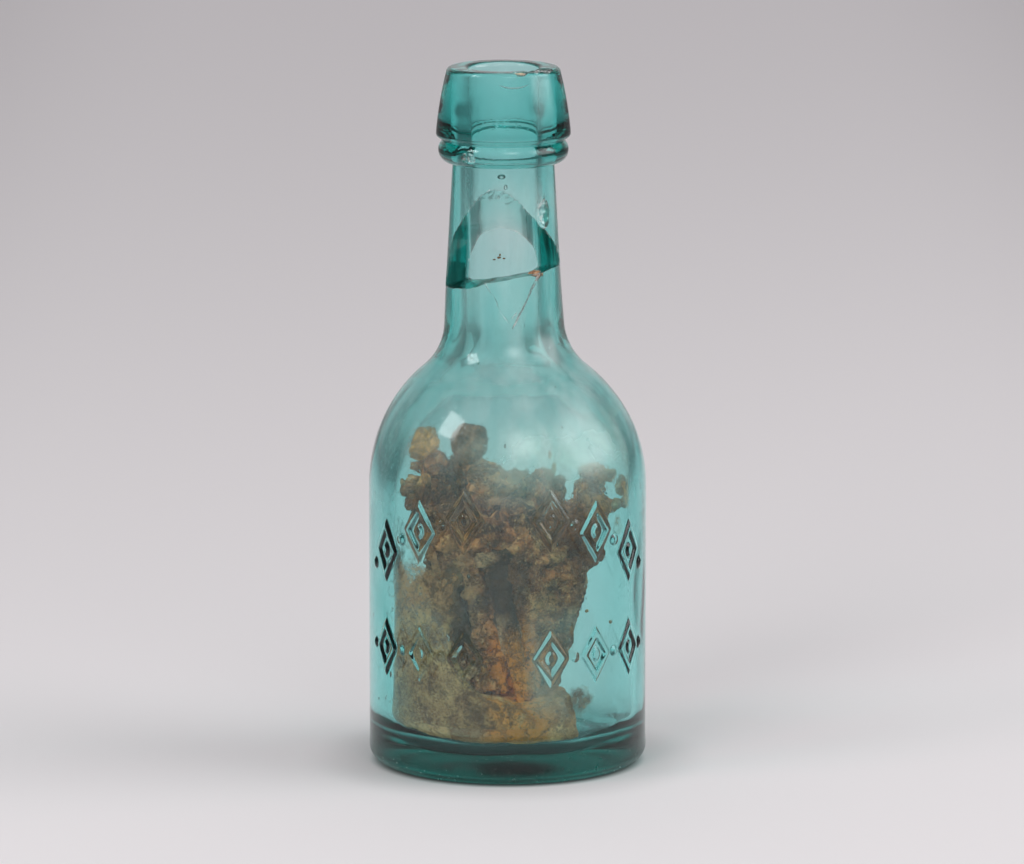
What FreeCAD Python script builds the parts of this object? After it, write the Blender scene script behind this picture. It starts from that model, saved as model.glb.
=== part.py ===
import FreeCAD
import Part

import math
import os

# Squat soda bottle of thick blown glass with a lip laid on to its neck, broken open at the front of the neck.
# It holds cut nails, rusted together and set in a cake of dried silt.
# All sizes are in millimetres. The bottle stands on the XY plane, its axis is Z and its broken side faces -Y.
Vector = FreeCAD.Vector
UP = Vector(0, 0, 1)

# Glass body
BODY_DIAMETER = 68.2
BODY_WALL = 5.0
SHOULDER_START = 68.8
SHOULDER_RADIUS = 38.0
HEEL_RADIUS = 4.0

# Base, with its centre pushed up
REST_RING_INNER_DIAMETER = 46.0
PUSH_UP_DEPTH = 4.0
BASE_THICKNESS = 6.5
FLOOR_DIAMETER = 44.0
FLOOR_RISE = 3.0

# Neck
BORE_DIAMETER = 16.4
NECK_LENGTH = 91.7
NECK_TOP_DIAMETER = 23.6
NECK_TAPER = 0.058
NECK_FILLET = 14.7
INNER_NECK_FILLET = 19.0

# Lip, laid on round the end of the neck
LIP_HEIGHT = 23.5
LIP_OVER_NECK = 12.0
MOUTH_DIAMETER = 17.2
BEAD_DIAMETER = 31.8
BEAD_HEIGHT = 5.5
GROOVE_DIAMETER = 29.8
GROOVE_HEIGHT = 0.6
COLLAR_DIAMETER = 33.0
COLLAR_TOP_DIAMETER = 28.0
COLLAR_BULGE = 0.3
COLLAR_EDGE = 1.2
RIM_EDGE = 1.4
MOUTH_EDGE = 1.2
CHIP_DEPTH = 1.6
CHIP_RADIUS = 7.0
CHIP_AZIMUTH = 30.0

# Break in the front of the neck
BREAK_BOTTOM = 51.2
BREAK_HEIGHT = 19.5
BREAK_TILT = 6.0
BREAK_HOLLOW = 1.6

# Nails
SHANK_WIDTH = 5.0
SHANK_THICKNESS = 3.4
POINT_WIDTH = 2.6
HEAD_WIDTH = 7.6
HEAD_THICKNESS = 6.2
HEAD_HEIGHT = 2.6
HEAD_CHAMFER = 0.6
KNOB_DIAMETER = 8.6

# Gap between the glass and what lies in it
CONTENT_GAP = 0.2

# Silt cake on the floor, banked up on the left wall
CAKE_HEIGHT = 15.0
CAKE_BANK = 40.0
CAKE_EDGE = 9.5
CAKE_BULGE = 2.0
CAKE_TURN = 12.0

# Each nail's point and head: degrees round from the front towards +X, share of the way from the axis to
# where a head would touch the wall, and height above the floor's ring
NAIL_PLACES = {
    "nail_left_tall": ((-96, 0.19, 4.5), (-98, 0.98, 73.5)),
    "nail_left_edge": ((-47, 0.37, 5.5), (-73, 0.98, 64.5)),
    "nail_knob_head": ((-170, 0.23, 4.0), (-124, 0.49, 72.5)),
    "nail_front_dark": ((-19, 1.10, 19.5), (-53, 0.86, 59.5)),
    "nail_centre": ((4, 0.58, 5.5), (11, 0.66, 60.5)),
    "nail_right_lean": ((35, 0.41, 6.5), (73, 0.98, 60.5)),
    "nail_front_low": ((12, 1.00, 7.5), (-10, 0.91, 49.5)),
    "nail_rear_left": ((-146, 0.45, 5.5), (-141, 0.86, 63.5)),
    "nail_rear_centre": ((173, 0.48, 5.5), (174, 0.80, 60.5)),
    "nail_rear_right": ((135, 0.26, 4.5), (129, 0.53, 62.5)),
    "nail_middle": ((-7, 0.17, 4.0), (-51, 0.27, 66.5)),
    "nail_right_edge": ((80, 0.38, 5.5), (102, 0.98, 65.5)),
}
KNOBBED_NAILS = ("nail_knob_head", "nail_left_tall")

# Crust of rust round the bunch: rings by height above the floor and radius, with a lobe out to each nail
CRUST_CENTRE = Vector(-0.8, -4.0, 0)
CRUST_RINGS = ((7.0, 11.0), (21.0, 11.0), (35.0, 14.0), (46.0, 17.0), (56.0, 10.0))
CRUST_COVER = 0.6
LOBE_HALF_ANGLE = 38.0
RING_POINTS = 24


class Outline:
    """A closed outline in the half plane of radius and height, to be turned about the Z axis."""

    def __init__(self, radius, height):
        self.start = Vector(radius, 0, height)
        self.here = self.start
        self.edges = []

    def line(self, radius, height):
        there = Vector(radius, 0, height)
        self.edges.append(Part.LineSegment(self.here, there).toShape())
        self.here = there

    def arc(self, middle, end):
        through = Vector(middle[0], 0, middle[1])
        there = Vector(end[0], 0, end[1])
        self.edges.append(Part.Arc(self.here, through, there).toShape())
        self.here = there

    def turned(self):
        self.line(self.start.x, self.start.z)
        face = Part.Face(Part.Wire(self.edges))
        return face.revolve(Vector(), UP, 360)


def on_arc(centre, radius, start, end, share=0.5):
    """The point at a share of the way round an arc from start to end, each given by its angle in radians."""
    angle = start + (end - start) * share
    return centre[0] + radius * math.cos(angle), centre[1] + radius * math.sin(angle)


def angle_to(centre, point):
    return math.atan2(point[1] - centre[1], point[0] - centre[0])


def dome(radius, height, rise):
    """Middle and top of the arc that rises from a ring of this radius to the axis."""
    ball = (radius ** 2 + rise ** 2) / (2 * rise)
    half = math.asin(radius / ball) / 2
    low = height + rise - ball
    return (ball * math.sin(half), low + ball * math.cos(half)), (0, height + rise)


def shoulder_to_neck(radius, line_radius, line_height, taper, fillet):
    """Where the shoulder's arc, the hollow above it and the neck's straight line meet.

    Gives the middle and end of the shoulder's arc, then the middle and end of the hollow's arc.
    """
    centre = (BODY_RADIUS - SHOULDER_RADIUS, SHOULDER_START)
    steep = math.hypot(1, taper)
    out = (1 / steep, taper / steep)
    along = (-taper / steep, 1 / steep)
    reach = radius + fillet
    from_centre = (line_radius + out[0] * fillet - centre[0], line_height + out[1] * fillet - centre[1])
    dot = from_centre[0] * along[0] + from_centre[1] * along[1]
    step = -dot + math.sqrt(dot ** 2 - from_centre[0] ** 2 - from_centre[1] ** 2 + reach ** 2)
    hollow = (centre[0] + from_centre[0] + along[0] * step, centre[1] + from_centre[1] + along[1] * step)
    turn = angle_to(centre, hollow)
    shoulder_end = on_arc(centre, radius, 0, turn, 1.0)
    neck_start = (hollow[0] - out[0] * fillet, hollow[1] - out[1] * fillet)
    first = angle_to(hollow, shoulder_end) % (2 * math.pi)
    last = angle_to(hollow, neck_start) % (2 * math.pi)
    return (
        on_arc(centre, radius, 0, turn),
        shoulder_end,
        on_arc(hollow, fillet, first, last),
        neck_start,
    )


BODY_RADIUS = BODY_DIAMETER / 2
INNER_RADIUS = BODY_RADIUS - BODY_WALL
BORE_RADIUS = BORE_DIAMETER / 2
NECK_TOP = SHOULDER_START + NECK_LENGTH
LIP_BOTTOM = NECK_TOP - LIP_OVER_NECK
OVERALL_HEIGHT = LIP_BOTTOM + LIP_HEIGHT


def neck_radius(height):
    """Outer radius of the neck's straight part."""
    return NECK_TOP_DIAMETER / 2 + NECK_TAPER * (NECK_TOP - height)


def inside_outline(gap=0.0):
    """The bottle's inside as an outline, drawn in by a gap from every wall."""
    radius = INNER_RADIUS - gap
    bore = BORE_RADIUS - gap
    floor = BASE_THICKNESS + gap
    ring = FLOOR_DIAMETER / 2
    corner = radius - ring
    arcs = shoulder_to_neck(
        SHOULDER_RADIUS - BODY_WALL - gap, bore, NECK_TOP, 0.0, INNER_NECK_FILLET + gap
    )
    inside = Outline(0, NECK_TOP)
    inside.line(bore, NECK_TOP)
    inside.line(*arcs[3])
    inside.arc(arcs[2], arcs[1])
    inside.arc(arcs[0], (radius, SHOULDER_START))
    inside.line(radius, floor + corner)
    inside.arc(on_arc((ring, floor + corner), corner, 0, -math.pi / 2), (ring, floor))
    inside.arc(*dome(ring, floor, FLOOR_RISE))
    return inside


def outside_outline():
    """The bottle's outside, without its lip."""
    ring = REST_RING_INNER_DIAMETER / 2
    foot = BODY_RADIUS - HEEL_RADIUS
    arcs = shoulder_to_neck(
        SHOULDER_RADIUS, NECK_TOP_DIAMETER / 2, NECK_TOP, NECK_TAPER, NECK_FILLET
    )
    push_up = dome(ring, 0, PUSH_UP_DEPTH)
    outside = Outline(0, NECK_TOP)
    outside.line(0, PUSH_UP_DEPTH)
    outside.arc(push_up[0], (ring, 0))
    outside.line(foot, 0)
    outside.arc(on_arc((foot, HEEL_RADIUS), HEEL_RADIUS, -math.pi / 2, 0), (BODY_RADIUS, HEEL_RADIUS))
    outside.line(BODY_RADIUS, SHOULDER_START)
    outside.arc(arcs[0], arcs[1])
    outside.arc(arcs[2], arcs[3])
    outside.line(neck_radius(NECK_TOP), NECK_TOP)
    return outside


def neck_break():
    """What was knocked out of the neck: a flake, hollow at its back, that leans forward towards its top."""
    bottom = SHOULDER_START + BREAK_BOTTOM
    top = bottom + BREAK_HEIGHT
    front = -BODY_RADIUS
    face = -neck_radius(top)
    low = Vector(0, 0, bottom)
    high = Vector(0, face, top)
    inward = (high - low).cross(Vector(1, 0, 0)).normalize()
    middle = (low + high) / 2 + inward * BREAK_HOLLOW
    side = [
        Part.LineSegment(Vector(0, front, bottom), low).toShape(),
        Part.Arc(low, middle, high).toShape(),
        Part.LineSegment(high, Vector(0, front, top)).toShape(),
        Part.LineSegment(Vector(0, front, top), Vector(0, front, bottom)).toShape(),
    ]
    flake = Part.Face(Part.Wire(side)).extrude(Vector(BODY_DIAMETER, 0, 0))
    flake.translate(Vector(-BODY_RADIUS, 0, 0))
    flake.rotate(low, Vector(0, 1, 0), -BREAK_TILT)
    return flake


def bottle_body():
    glass = outside_outline().turned().cut(inside_outline().turned())
    return glass.cut(neck_break())


def applied_lip():
    """A bead and a tapered collar, turned as one lip that laps over the neck's end, with a chipped rim."""
    mouth = MOUTH_DIAMETER / 2
    bead_top = LIP_BOTTOM + BEAD_HEIGHT
    collar = COLLAR_DIAMETER / 2
    collar_bottom = bead_top + GROOVE_HEIGHT + COLLAR_EDGE
    collar_top = COLLAR_TOP_DIAMETER / 2
    rim = OVERALL_HEIGHT - RIM_EDGE
    mouth_top = OVERALL_HEIGHT - MOUTH_EDGE
    collar_middle = ((collar + collar_top) / 2 + COLLAR_BULGE, (collar_bottom + rim) / 2)
    collar_round = on_arc((collar - COLLAR_EDGE, collar_bottom), COLLAR_EDGE, -math.pi / 2, 0)
    rim_round = on_arc((collar_top - RIM_EDGE, rim), RIM_EDGE, 0, math.pi / 2)
    mouth_round = on_arc((mouth + MOUTH_EDGE, mouth_top), MOUTH_EDGE, math.pi / 2, math.pi)
    lip = Outline(mouth, NECK_TOP)
    lip.line(neck_radius(NECK_TOP), NECK_TOP)
    lip.line(neck_radius(LIP_BOTTOM), LIP_BOTTOM)
    lip.arc((BEAD_DIAMETER / 2, LIP_BOTTOM + BEAD_HEIGHT / 2), (GROOVE_DIAMETER / 2, bead_top))
    lip.line(collar - COLLAR_EDGE, bead_top + GROOVE_HEIGHT)
    lip.arc(collar_round, (collar, collar_bottom))
    lip.arc(collar_middle, (collar_top, rim))
    lip.arc(rim_round, (collar_top - RIM_EDGE, OVERALL_HEIGHT))
    lip.line(mouth + MOUTH_EDGE, OVERALL_HEIGHT)
    lip.arc(mouth_round, (mouth, mouth_top))
    azimuth = math.radians(CHIP_AZIMUTH)
    wall_middle = (mouth + collar_top) / 2
    chip_height = OVERALL_HEIGHT + CHIP_RADIUS - CHIP_DEPTH
    chip_centre = Vector(wall_middle * math.sin(azimuth), -wall_middle * math.cos(azimuth), chip_height)
    return lip.turned().cut(Part.makeSphere(CHIP_RADIUS, chip_centre))


def inside_point(azimuth, share, above_floor):
    """A point in the bottle, at a share of the way from the axis to a nail's head against the wall."""
    height = BASE_THICKNESS + above_floor
    radius = INNER_RADIUS
    rise = height - SHOULDER_START
    if rise > 0:
        shoulder = SHOULDER_RADIUS - BODY_WALL
        radius = BODY_RADIUS - SHOULDER_RADIUS + math.sqrt(shoulder ** 2 - rise ** 2)
    turn = math.radians(azimuth)
    reach = share * (radius - math.hypot(HEAD_WIDTH, HEAD_THICKNESS) / 2 - CONTENT_GAP)
    return Vector(reach * math.sin(turn), -reach * math.cos(turn), height)


def rectangle(width, thickness, height):
    half_width = width / 2
    half_thickness = thickness / 2
    corners = [
        Vector(-half_width, -half_thickness, height),
        Vector(half_width, -half_thickness, height),
        Vector(half_width, half_thickness, height),
        Vector(-half_width, half_thickness, height),
    ]
    return Part.makePolygon(corners + corners[:1])


def cut_nail(point, head, knobbed):
    """A nail sheared from plate: its shank tapers on two sides, and its square head is chamfered."""
    along = head - point
    length = along.Length
    neck = length - HEAD_HEIGHT
    shank_ends = [
        rectangle(POINT_WIDTH, SHANK_THICKNESS, 0),
        rectangle(SHANK_WIDTH, SHANK_THICKNESS, length - HEAD_HEIGHT / 2),
    ]
    shank = Part.makeLoft(shank_ends, True, True)
    block = Part.makeBox(
        HEAD_WIDTH, HEAD_THICKNESS, HEAD_HEIGHT, Vector(-HEAD_WIDTH / 2, -HEAD_THICKNESS / 2, neck)
    )
    block = block.makeChamfer(HEAD_CHAMFER, [edge for edge in block.Edges if edge.CenterOfMass.z > neck])
    nail = shank.fuse(block)
    if knobbed:
        nail = nail.fuse(Part.makeSphere(KNOB_DIAMETER / 2, Vector(0, 0, length - HEAD_HEIGHT / 2)))
    nail.Placement = FreeCAD.Placement(point, FreeCAD.Rotation(UP, along))
    return nail.removeSplitter()


def nails():
    made = {}
    for name, (point, head) in NAIL_PLACES.items():
        made[name] = cut_nail(inside_point(*point), inside_point(*head), name in KNOBBED_NAILS)
    return made


def silt_cake(inside, nail_shapes):
    """Silt that settled to one side as the bottle lay, and stays there in one piece now that it stands."""
    top = BASE_THICKNESS + CAKE_HEIGHT
    bank = BASE_THICKNESS + CAKE_BANK
    edge_foot = Vector(CAKE_EDGE, 0, 0)
    edge_middle = Vector(CAKE_EDGE + CAKE_BULGE, 0, top / 2)
    edge_top = Vector(CAKE_EDGE, 0, top)
    hollow = Vector(-CAKE_EDGE, 0, top)
    bank_top = Vector(-BODY_RADIUS, 0, bank)
    corner = Vector(-BODY_RADIUS, 0, 0)
    outline = [
        Part.LineSegment(corner, edge_foot).toShape(),
        Part.Arc(edge_foot, edge_middle, edge_top).toShape(),
        Part.Arc(edge_top, hollow, bank_top).toShape(),
        Part.LineSegment(bank_top, corner).toShape(),
    ]
    front = Vector(BODY_RADIUS * math.tan(math.radians(CAKE_TURN)), -BODY_RADIUS, 0)
    block = Part.Face(Part.Wire(outline)).extrude(front * -2)
    block.translate(front)
    return block.common(inside).cut(nail_shapes)


def crust_ring(height, radius):
    """A closed curve round the bunch at a height, with a lobe that reaches each nail standing there."""
    nail_places = []
    for point_place, head_place in NAIL_PLACES.values():
        point = inside_point(*point_place)
        head = inside_point(*head_place)
        if point.z < height < head.z:
            on_nail = point + (head - point) * ((height - point.z) / (head.z - point.z)) - CRUST_CENTRE
            nail_places.append((math.atan2(on_nail.y, on_nail.x), math.hypot(on_nail.x, on_nail.y)))
    lobe = math.radians(LOBE_HALF_ANGLE)
    points = []
    for step in range(RING_POINTS):
        angle = 2 * math.pi * step / RING_POINTS
        swell = 0.0
        for nail_angle, reach in nail_places:
            away = abs((angle - nail_angle + math.pi) % (2 * math.pi) - math.pi)
            if away < lobe:
                fall = math.cos(math.pi / 2 * away / lobe) ** 2
                swell = max(swell, (reach + CRUST_COVER - radius) * fall)
        flat = Vector((radius + swell) * math.cos(angle), (radius + swell) * math.sin(angle), height)
        points.append(CRUST_CENTRE + flat)
    curve = Part.BSplineCurve()
    curve.interpolate(points, PeriodicFlag=True)
    return Part.Wire(curve.toShape())


def rust_crust(inside, nail_shapes, cake):
    """Rust grown together round the bunch, down to the silt, with the nails' outer faces left bare."""
    rings = [crust_ring(BASE_THICKNESS + above_floor, radius) for above_floor, radius in CRUST_RINGS]
    return Part.makeLoft(rings, True, False).common(inside).cut([cake] + nail_shapes)


def save(shape, name):
    shape.exportStep(os.path.join("parts", name + ".step"))
    print(name, "solids", len(shape.Solids), "volume", round(shape.Volume, 1), "valid", shape.isValid())


def main():
    os.makedirs("parts", exist_ok=True)
    save(bottle_body(), "bottle_body")
    save(applied_lip(), "applied_lip")
    nail_shapes = nails()
    for name, nail in nail_shapes.items():
        save(nail, name)
    inside = inside_outline(CONTENT_GAP).turned()
    cake = silt_cake(inside, list(nail_shapes.values()))
    save(cake, "silt_cake")
    save(rust_crust(inside, list(nail_shapes.values()), cake), "rust_crust")


main()
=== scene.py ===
"""Thick blown glass bottle with a broken neck, which holds cut nails rusted together in dried silt.

The glass is one closed shell, turned from a drawn section and then broken. The nails, the crust and the silt
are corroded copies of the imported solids. The sizes of the pieces are in millimetres. The meshes, the finishes
and the studio are in metres.
"""

import logging
import math
import random
from dataclasses import dataclass
from enum import Enum
from typing import Any

import bmesh
import bpy
from mathutils import Matrix, Vector, noise


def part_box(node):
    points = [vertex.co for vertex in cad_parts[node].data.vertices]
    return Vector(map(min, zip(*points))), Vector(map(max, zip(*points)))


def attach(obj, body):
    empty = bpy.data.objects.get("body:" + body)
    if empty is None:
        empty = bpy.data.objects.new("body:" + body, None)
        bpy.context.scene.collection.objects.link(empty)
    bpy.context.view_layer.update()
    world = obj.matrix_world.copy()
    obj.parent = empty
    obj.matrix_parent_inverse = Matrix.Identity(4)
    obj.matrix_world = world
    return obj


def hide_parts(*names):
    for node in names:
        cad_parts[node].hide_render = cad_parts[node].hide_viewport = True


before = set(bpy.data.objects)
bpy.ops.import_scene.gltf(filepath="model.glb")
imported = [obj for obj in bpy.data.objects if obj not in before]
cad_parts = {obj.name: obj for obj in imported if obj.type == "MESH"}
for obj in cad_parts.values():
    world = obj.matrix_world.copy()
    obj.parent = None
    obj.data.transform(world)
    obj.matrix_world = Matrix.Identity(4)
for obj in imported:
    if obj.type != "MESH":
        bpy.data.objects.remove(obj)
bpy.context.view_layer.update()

BODY = "root"
MM = 0.001
IMAGE_WIDTH = 1024
LOG = logging.getLogger("bottle")

Point = tuple[float, float]
Colour = tuple[float, float, float, float]


class Slot(Enum):
    """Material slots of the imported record."""

    GLASS = "aqua_glass"
    IRON = "rusted_iron"
    CRUST = "rust_crust"
    SILT = "dried_silt"


class Motif(Enum):
    """Raised shapes of the moulded bands."""

    LOZENGE = "lozenge"
    BEAD = "bead"


def smooth_step(low: float, high: float, value: float) -> float:
    """Rises smoothly from 0 at low to 1 at high."""
    share = min(max((value - low) / (high - low), 0.0), 1.0)
    return share * share * (3.0 - 2.0 * share)


def shade(red: int, green: int, blue: int) -> Colour:
    """Turns a screen colour of 0 to 255 into linear light.

    Args:
        red, green, blue: The screen values.

    Returns:
        The colour with full alpha.
    """
    linear = []
    for value in (red, green, blue):
        share = value / 255.0
        linear.append(share / 12.92 if share <= 0.04045 else ((share + 0.055) / 1.055) ** 2.4)
    return linear[0], linear[1], linear[2], 1.0


def round_at(azimuth: float, radius: float, height: float) -> Vector:
    """Gives the place at an angle in radians from the front towards the right, a radius and a height."""
    return Vector((radius * math.sin(azimuth), -radius * math.cos(azimuth), height))


def set_in_order(bm: bmesh.types.BMesh) -> None:
    """Makes a bmesh anew in the order of its places, because spin and extrude vary the order by run.

    Args:
        bm: The mesh, whose earlier points and faces can't be used any more.
    """
    along = Vector((1.0, 1.61803, 2.71828))
    bm.verts.sort(key=lambda vert: vert.co.dot(along))
    bm.edges.sort(key=lambda edge: (edge.verts[0].co + edge.verts[1].co).dot(along))
    bm.faces.sort(key=lambda face: face.calc_center_median().dot(along))
    mesh = bpy.data.meshes.new("order")
    bm.to_mesh(mesh)
    bm.clear()
    bm.from_mesh(mesh)
    bpy.data.meshes.remove(mesh)


def new_piece(name: str, bm: bmesh.types.BMesh) -> bpy.types.Object:
    """Puts a bmesh into a new object at the origin.

    Args:
        name: The piece's name.
        bm: The mesh, in metres, which is freed.

    Returns:
        The new object.
    """
    mesh = bpy.data.meshes.new(name)
    set_in_order(bm)
    bm.to_mesh(mesh)
    bm.free()
    piece = bpy.data.objects.new(name, mesh)
    bpy.context.scene.collection.objects.link(piece)
    return piece


def settle(piece: bpy.types.Object) -> None:
    """Puts a piece's modifiers into its mesh.

    Args:
        piece: The object, which is left with no modifier.
    """
    bpy.context.view_layer.update()
    evaluated = piece.evaluated_get(bpy.context.evaluated_depsgraph_get())
    mesh = bpy.data.meshes.new_from_object(evaluated)
    worn_out = piece.data
    piece.modifiers.clear()
    piece.data = mesh
    bpy.data.meshes.remove(worn_out)
    mesh.name = piece.name


def shade_smooth(piece: bpy.types.Object, crease: float) -> None:
    """Shades a piece smooth, with a sharp edge wherever its faces turn by more than the crease angle.

    Args:
        piece: The object.
        crease: The angle in degrees.
    """
    piece.data.shade_smooth()
    piece.data.set_sharp_from_angle(angle=math.radians(crease))


def hand_over(piece: bpy.types.Object, slot: Slot, *nodes: str) -> None:
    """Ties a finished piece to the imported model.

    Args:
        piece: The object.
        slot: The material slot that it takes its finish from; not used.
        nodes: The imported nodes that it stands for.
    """
    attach(piece, BODY)
    if nodes:
        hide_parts(*nodes)
    LOG.info("%s: %d faces", piece.name, len(piece.data.polygons))


class NodeBench:
    """Adds nodes to one node tree and links them."""

    def __init__(self, tree: bpy.types.NodeTree) -> None:
        """Takes the tree as it is."""
        self.tree = tree

    def put(self, value: Any, socket: bpy.types.NodeSocket) -> None:
        """Links an output to an input, or sets the input to a plain value."""
        if isinstance(value, bpy.types.NodeSocket):
            self.tree.links.new(value, socket)
        else:
            socket.default_value = value

    def add(self, kind: str, inputs: dict[Any, Any] | None = None, **settings: Any) -> bpy.types.Node:
        """Adds a node.

        Args:
            kind: The node's type name.
            inputs: Values or output sockets, by the name or number of the input.
            settings: The node's own settings.

        Returns:
            The node.
        """
        node = self.tree.nodes.new(kind)
        for name, value in settings.items():
            setattr(node, name, value)
        for key, value in (inputs or {}).items():
            self.put(value, node.inputs[key])
        return node

    def sum(self, operation: str, first: Any, second: Any = 0.0) -> bpy.types.NodeSocket:
        """Works out one sum, given by its operation's name, of one or two values."""
        return self.add("ShaderNodeMath", {0: first, 1: second}, operation=operation).outputs[0]

    def times(self, first: Any, *others: Any) -> Any:
        """Multiplies values, from the first to the last."""
        for other in others:
            first = self.sum("MULTIPLY", first, other)
        return first

    def plus(self, first: Any, *others: Any) -> Any:
        """Adds values, from the first to the last."""
        for other in others:
            first = self.sum("ADD", first, other)
        return first

    def less(self, first: Any, second: Any) -> bpy.types.NodeSocket:
        """Takes the second value from the first."""
        return self.sum("SUBTRACT", first, second)

    def vector_sum(self, operation: str, first: Any, second: Any) -> bpy.types.NodeSocket:
        """Works out one sum of two vectors."""
        return self.add("ShaderNodeVectorMath", {0: first, 1: second}, operation=operation).outputs[0]

    def length(self, vector: Any) -> bpy.types.NodeSocket:
        """Measures a vector."""
        return self.add("ShaderNodeVectorMath", {0: vector}, operation="LENGTH").outputs["Value"]

    def parts(self, vector: Any) -> Any:
        """Gives a vector's X, Y and Z outputs."""
        return self.add("ShaderNodeSeparateXYZ", {0: vector}).outputs

    def band(
        self, value: Any, low: float, high: float, first: float = 0.0, last: float = 1.0
    ) -> bpy.types.NodeSocket:
        """Maps a value from low..high to first..last, smoothly and held at both ends.

        Args:
            value: The value's socket.
            low, high: The range that is read.
            first, last: The range that is put out.

        Returns:
            The mapped value.
        """
        inputs = {"Value": value, "From Min": low, "From Max": high, "To Min": first, "To Max": last}
        return self.add("ShaderNodeMapRange", inputs, interpolation_type="SMOOTHSTEP").outputs["Result"]

    def between(self, value: Any, rise: Point, fall: Point) -> bpy.types.NodeSocket:
        """Makes a mask of the places where a value lies within a range.

        Args:
            value: The value's socket.
            rise: Where the mask comes in and is full.
            fall: Where the mask is last full and has gone.

        Returns:
            The mask.
        """
        return self.times(self.band(value, *rise), self.band(value, fall[1], fall[0]))

    def blend(self, factor: Any, first: Any, second: Any, mode: str = "MIX") -> bpy.types.NodeSocket:
        """Mixes two colours.

        Args:
            factor: The share of the second colour.
            first, second: Colours or sockets.
            mode: The way of mixing.

        Returns:
            The mixed colour.
        """
        mix = self.add("ShaderNodeMix", data_type="RGBA", blend_type=mode)
        for number, value in ((0, factor), (6, first), (7, second)):
            self.put(value, mix.inputs[number])
        return mix.outputs[2]

    def noise(
        self, vector: Any, scale: Any, detail: float = 4.0, roughness: float = 0.55
    ) -> bpy.types.NodeSocket:
        """Adds a noise texture.

        Args:
            vector: The coordinates.
            scale: Waves per metre.
            detail: How many finer layers it has.
            roughness: How strong the finer layers are.

        Returns:
            The noise, from 0 to 1.
        """
        inputs = {"Vector": vector, "Scale": scale, "Detail": detail, "Roughness": roughness}
        return self.add("ShaderNodeTexNoise", inputs).outputs[0]

    def bump(self, height: Any, strength: float, distance: float) -> bpy.types.NodeSocket:
        """Turns a height into a bent normal."""
        inputs = {"Strength": strength, "Distance": distance, "Height": height}
        return self.add("ShaderNodeBump", inputs).outputs["Normal"]


def new_material(name: str) -> tuple[bpy.types.Material, NodeBench, bpy.types.Node]:
    """Starts an empty node material.

    Args:
        name: The material's name.

    Returns:
        The material, its bench and its output node.
    """
    material = bpy.data.materials.new(name)
    material.use_nodes = True
    material.node_tree.nodes.clear()
    bench = NodeBench(material.node_tree)
    return material, bench, bench.add("ShaderNodeOutputMaterial")


class EffectGroups:
    """Shader node groups that more than one finish uses."""

    def __init__(self) -> None:
        """Builds each group once."""
        self.mottle = self._mottle()
        self.spot = self._spot()

    @staticmethod
    def _start(name: str, inputs: dict[str, str], outputs: dict[str, str]) -> tuple[NodeBench, Any, Any]:
        """Makes an empty group with its sockets.

        Args:
            name: The group's name.
            inputs, outputs: Socket types by socket name.

        Returns:
            The bench, the group's input node and its output node.
        """
        tree = bpy.data.node_groups.new(name, "ShaderNodeTree")
        for socket, kind in inputs.items():
            tree.interface.new_socket(socket, in_out="INPUT", socket_type=kind)
        for socket, kind in outputs.items():
            tree.interface.new_socket(socket, in_out="OUTPUT", socket_type=kind)
        bench = NodeBench(tree)
        return bench, bench.add("NodeGroupInput"), bench.add("NodeGroupOutput")

    def _mottle(self) -> bpy.types.NodeTree:
        """Crusty mottling: broad patches, small pits, fine grain, clefts and the height of them all."""
        kinds = ("Patches", "Pits", "Grain", "Clefts", "Height")
        bench, start, end = self._start(
            "CrustMottle",
            {"Vector": "NodeSocketVector", "Scale": "NodeSocketFloat"},
            {kind: "NodeSocketFloat" for kind in kinds},
        )
        vector = start.outputs["Vector"]
        scale = start.outputs["Scale"]
        broad = bench.noise(vector, scale, 5.0, 0.62)
        fine_scale = bench.times(scale, 6.5)
        grain = bench.noise(vector, fine_scale, 3.0, 0.7)
        cell_inputs = {"Vector": vector, "Scale": bench.times(scale, 3.2)}
        cells = bench.add("ShaderNodeTexVoronoi", cell_inputs).outputs["Distance"]
        sway_inputs = {"Vector": vector, "Scale": fine_scale, "Detail": 2.0}
        sway = bench.add("ShaderNodeTexNoise", sway_inputs).outputs[1]
        sway = bench.add("ShaderNodeVectorMath", {0: sway, "Scale": 0.004}, operation="SCALE").outputs[0]
        rim_inputs = {"Vector": bench.vector_sum("ADD", vector, sway), "Scale": bench.times(scale, 1.3)}
        rims = bench.add("ShaderNodeTexVoronoi", rim_inputs, feature="DISTANCE_TO_EDGE").outputs["Distance"]
        clefts = bench.band(rims, 0.11, 0.0)
        pits = bench.band(cells, 0.05, 0.42)
        patches = bench.band(broad, 0.36, 0.66)
        height = bench.plus(bench.times(broad, 0.7), bench.times(grain, 0.35), bench.times(pits, 0.3))
        height = bench.less(height, bench.times(clefts, 0.35))
        for kind, socket in zip(kinds, (patches, pits, grain, clefts, height)):
            bench.tree.links.new(socket, end.inputs[kind])
        return bench.tree

    def _spot(self) -> bpy.types.NodeTree:
        """A soft spot round a place, with a ragged edge."""
        bench, start, end = self._start(
            "SoftSpot",
            {"Vector": "NodeSocketVector", "Centre": "NodeSocketVector", "Reach": "NodeSocketVector",
             "Edge": "NodeSocketFloat"},
            {"Mask": "NodeSocketFloat"},
        )
        offset = bench.vector_sum("SUBTRACT", start.outputs["Vector"], start.outputs["Centre"])
        away = bench.length(bench.vector_sum("DIVIDE", offset, start.outputs["Reach"]))
        ragged = bench.times(bench.less(start.outputs["Edge"], 0.5), 0.9)
        mask = bench.band(bench.plus(away, ragged), 1.15, 0.55)
        bench.tree.links.new(mask, end.inputs["Mask"])
        return bench.tree


@dataclass(frozen=True)
class Stain:
    """A place on a finish that has a colour of its own, in millimetres."""

    centre: tuple[float, float, float]
    reach: tuple[float, float, float]
    colour: Colour
    strength: float = 1.0


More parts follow.
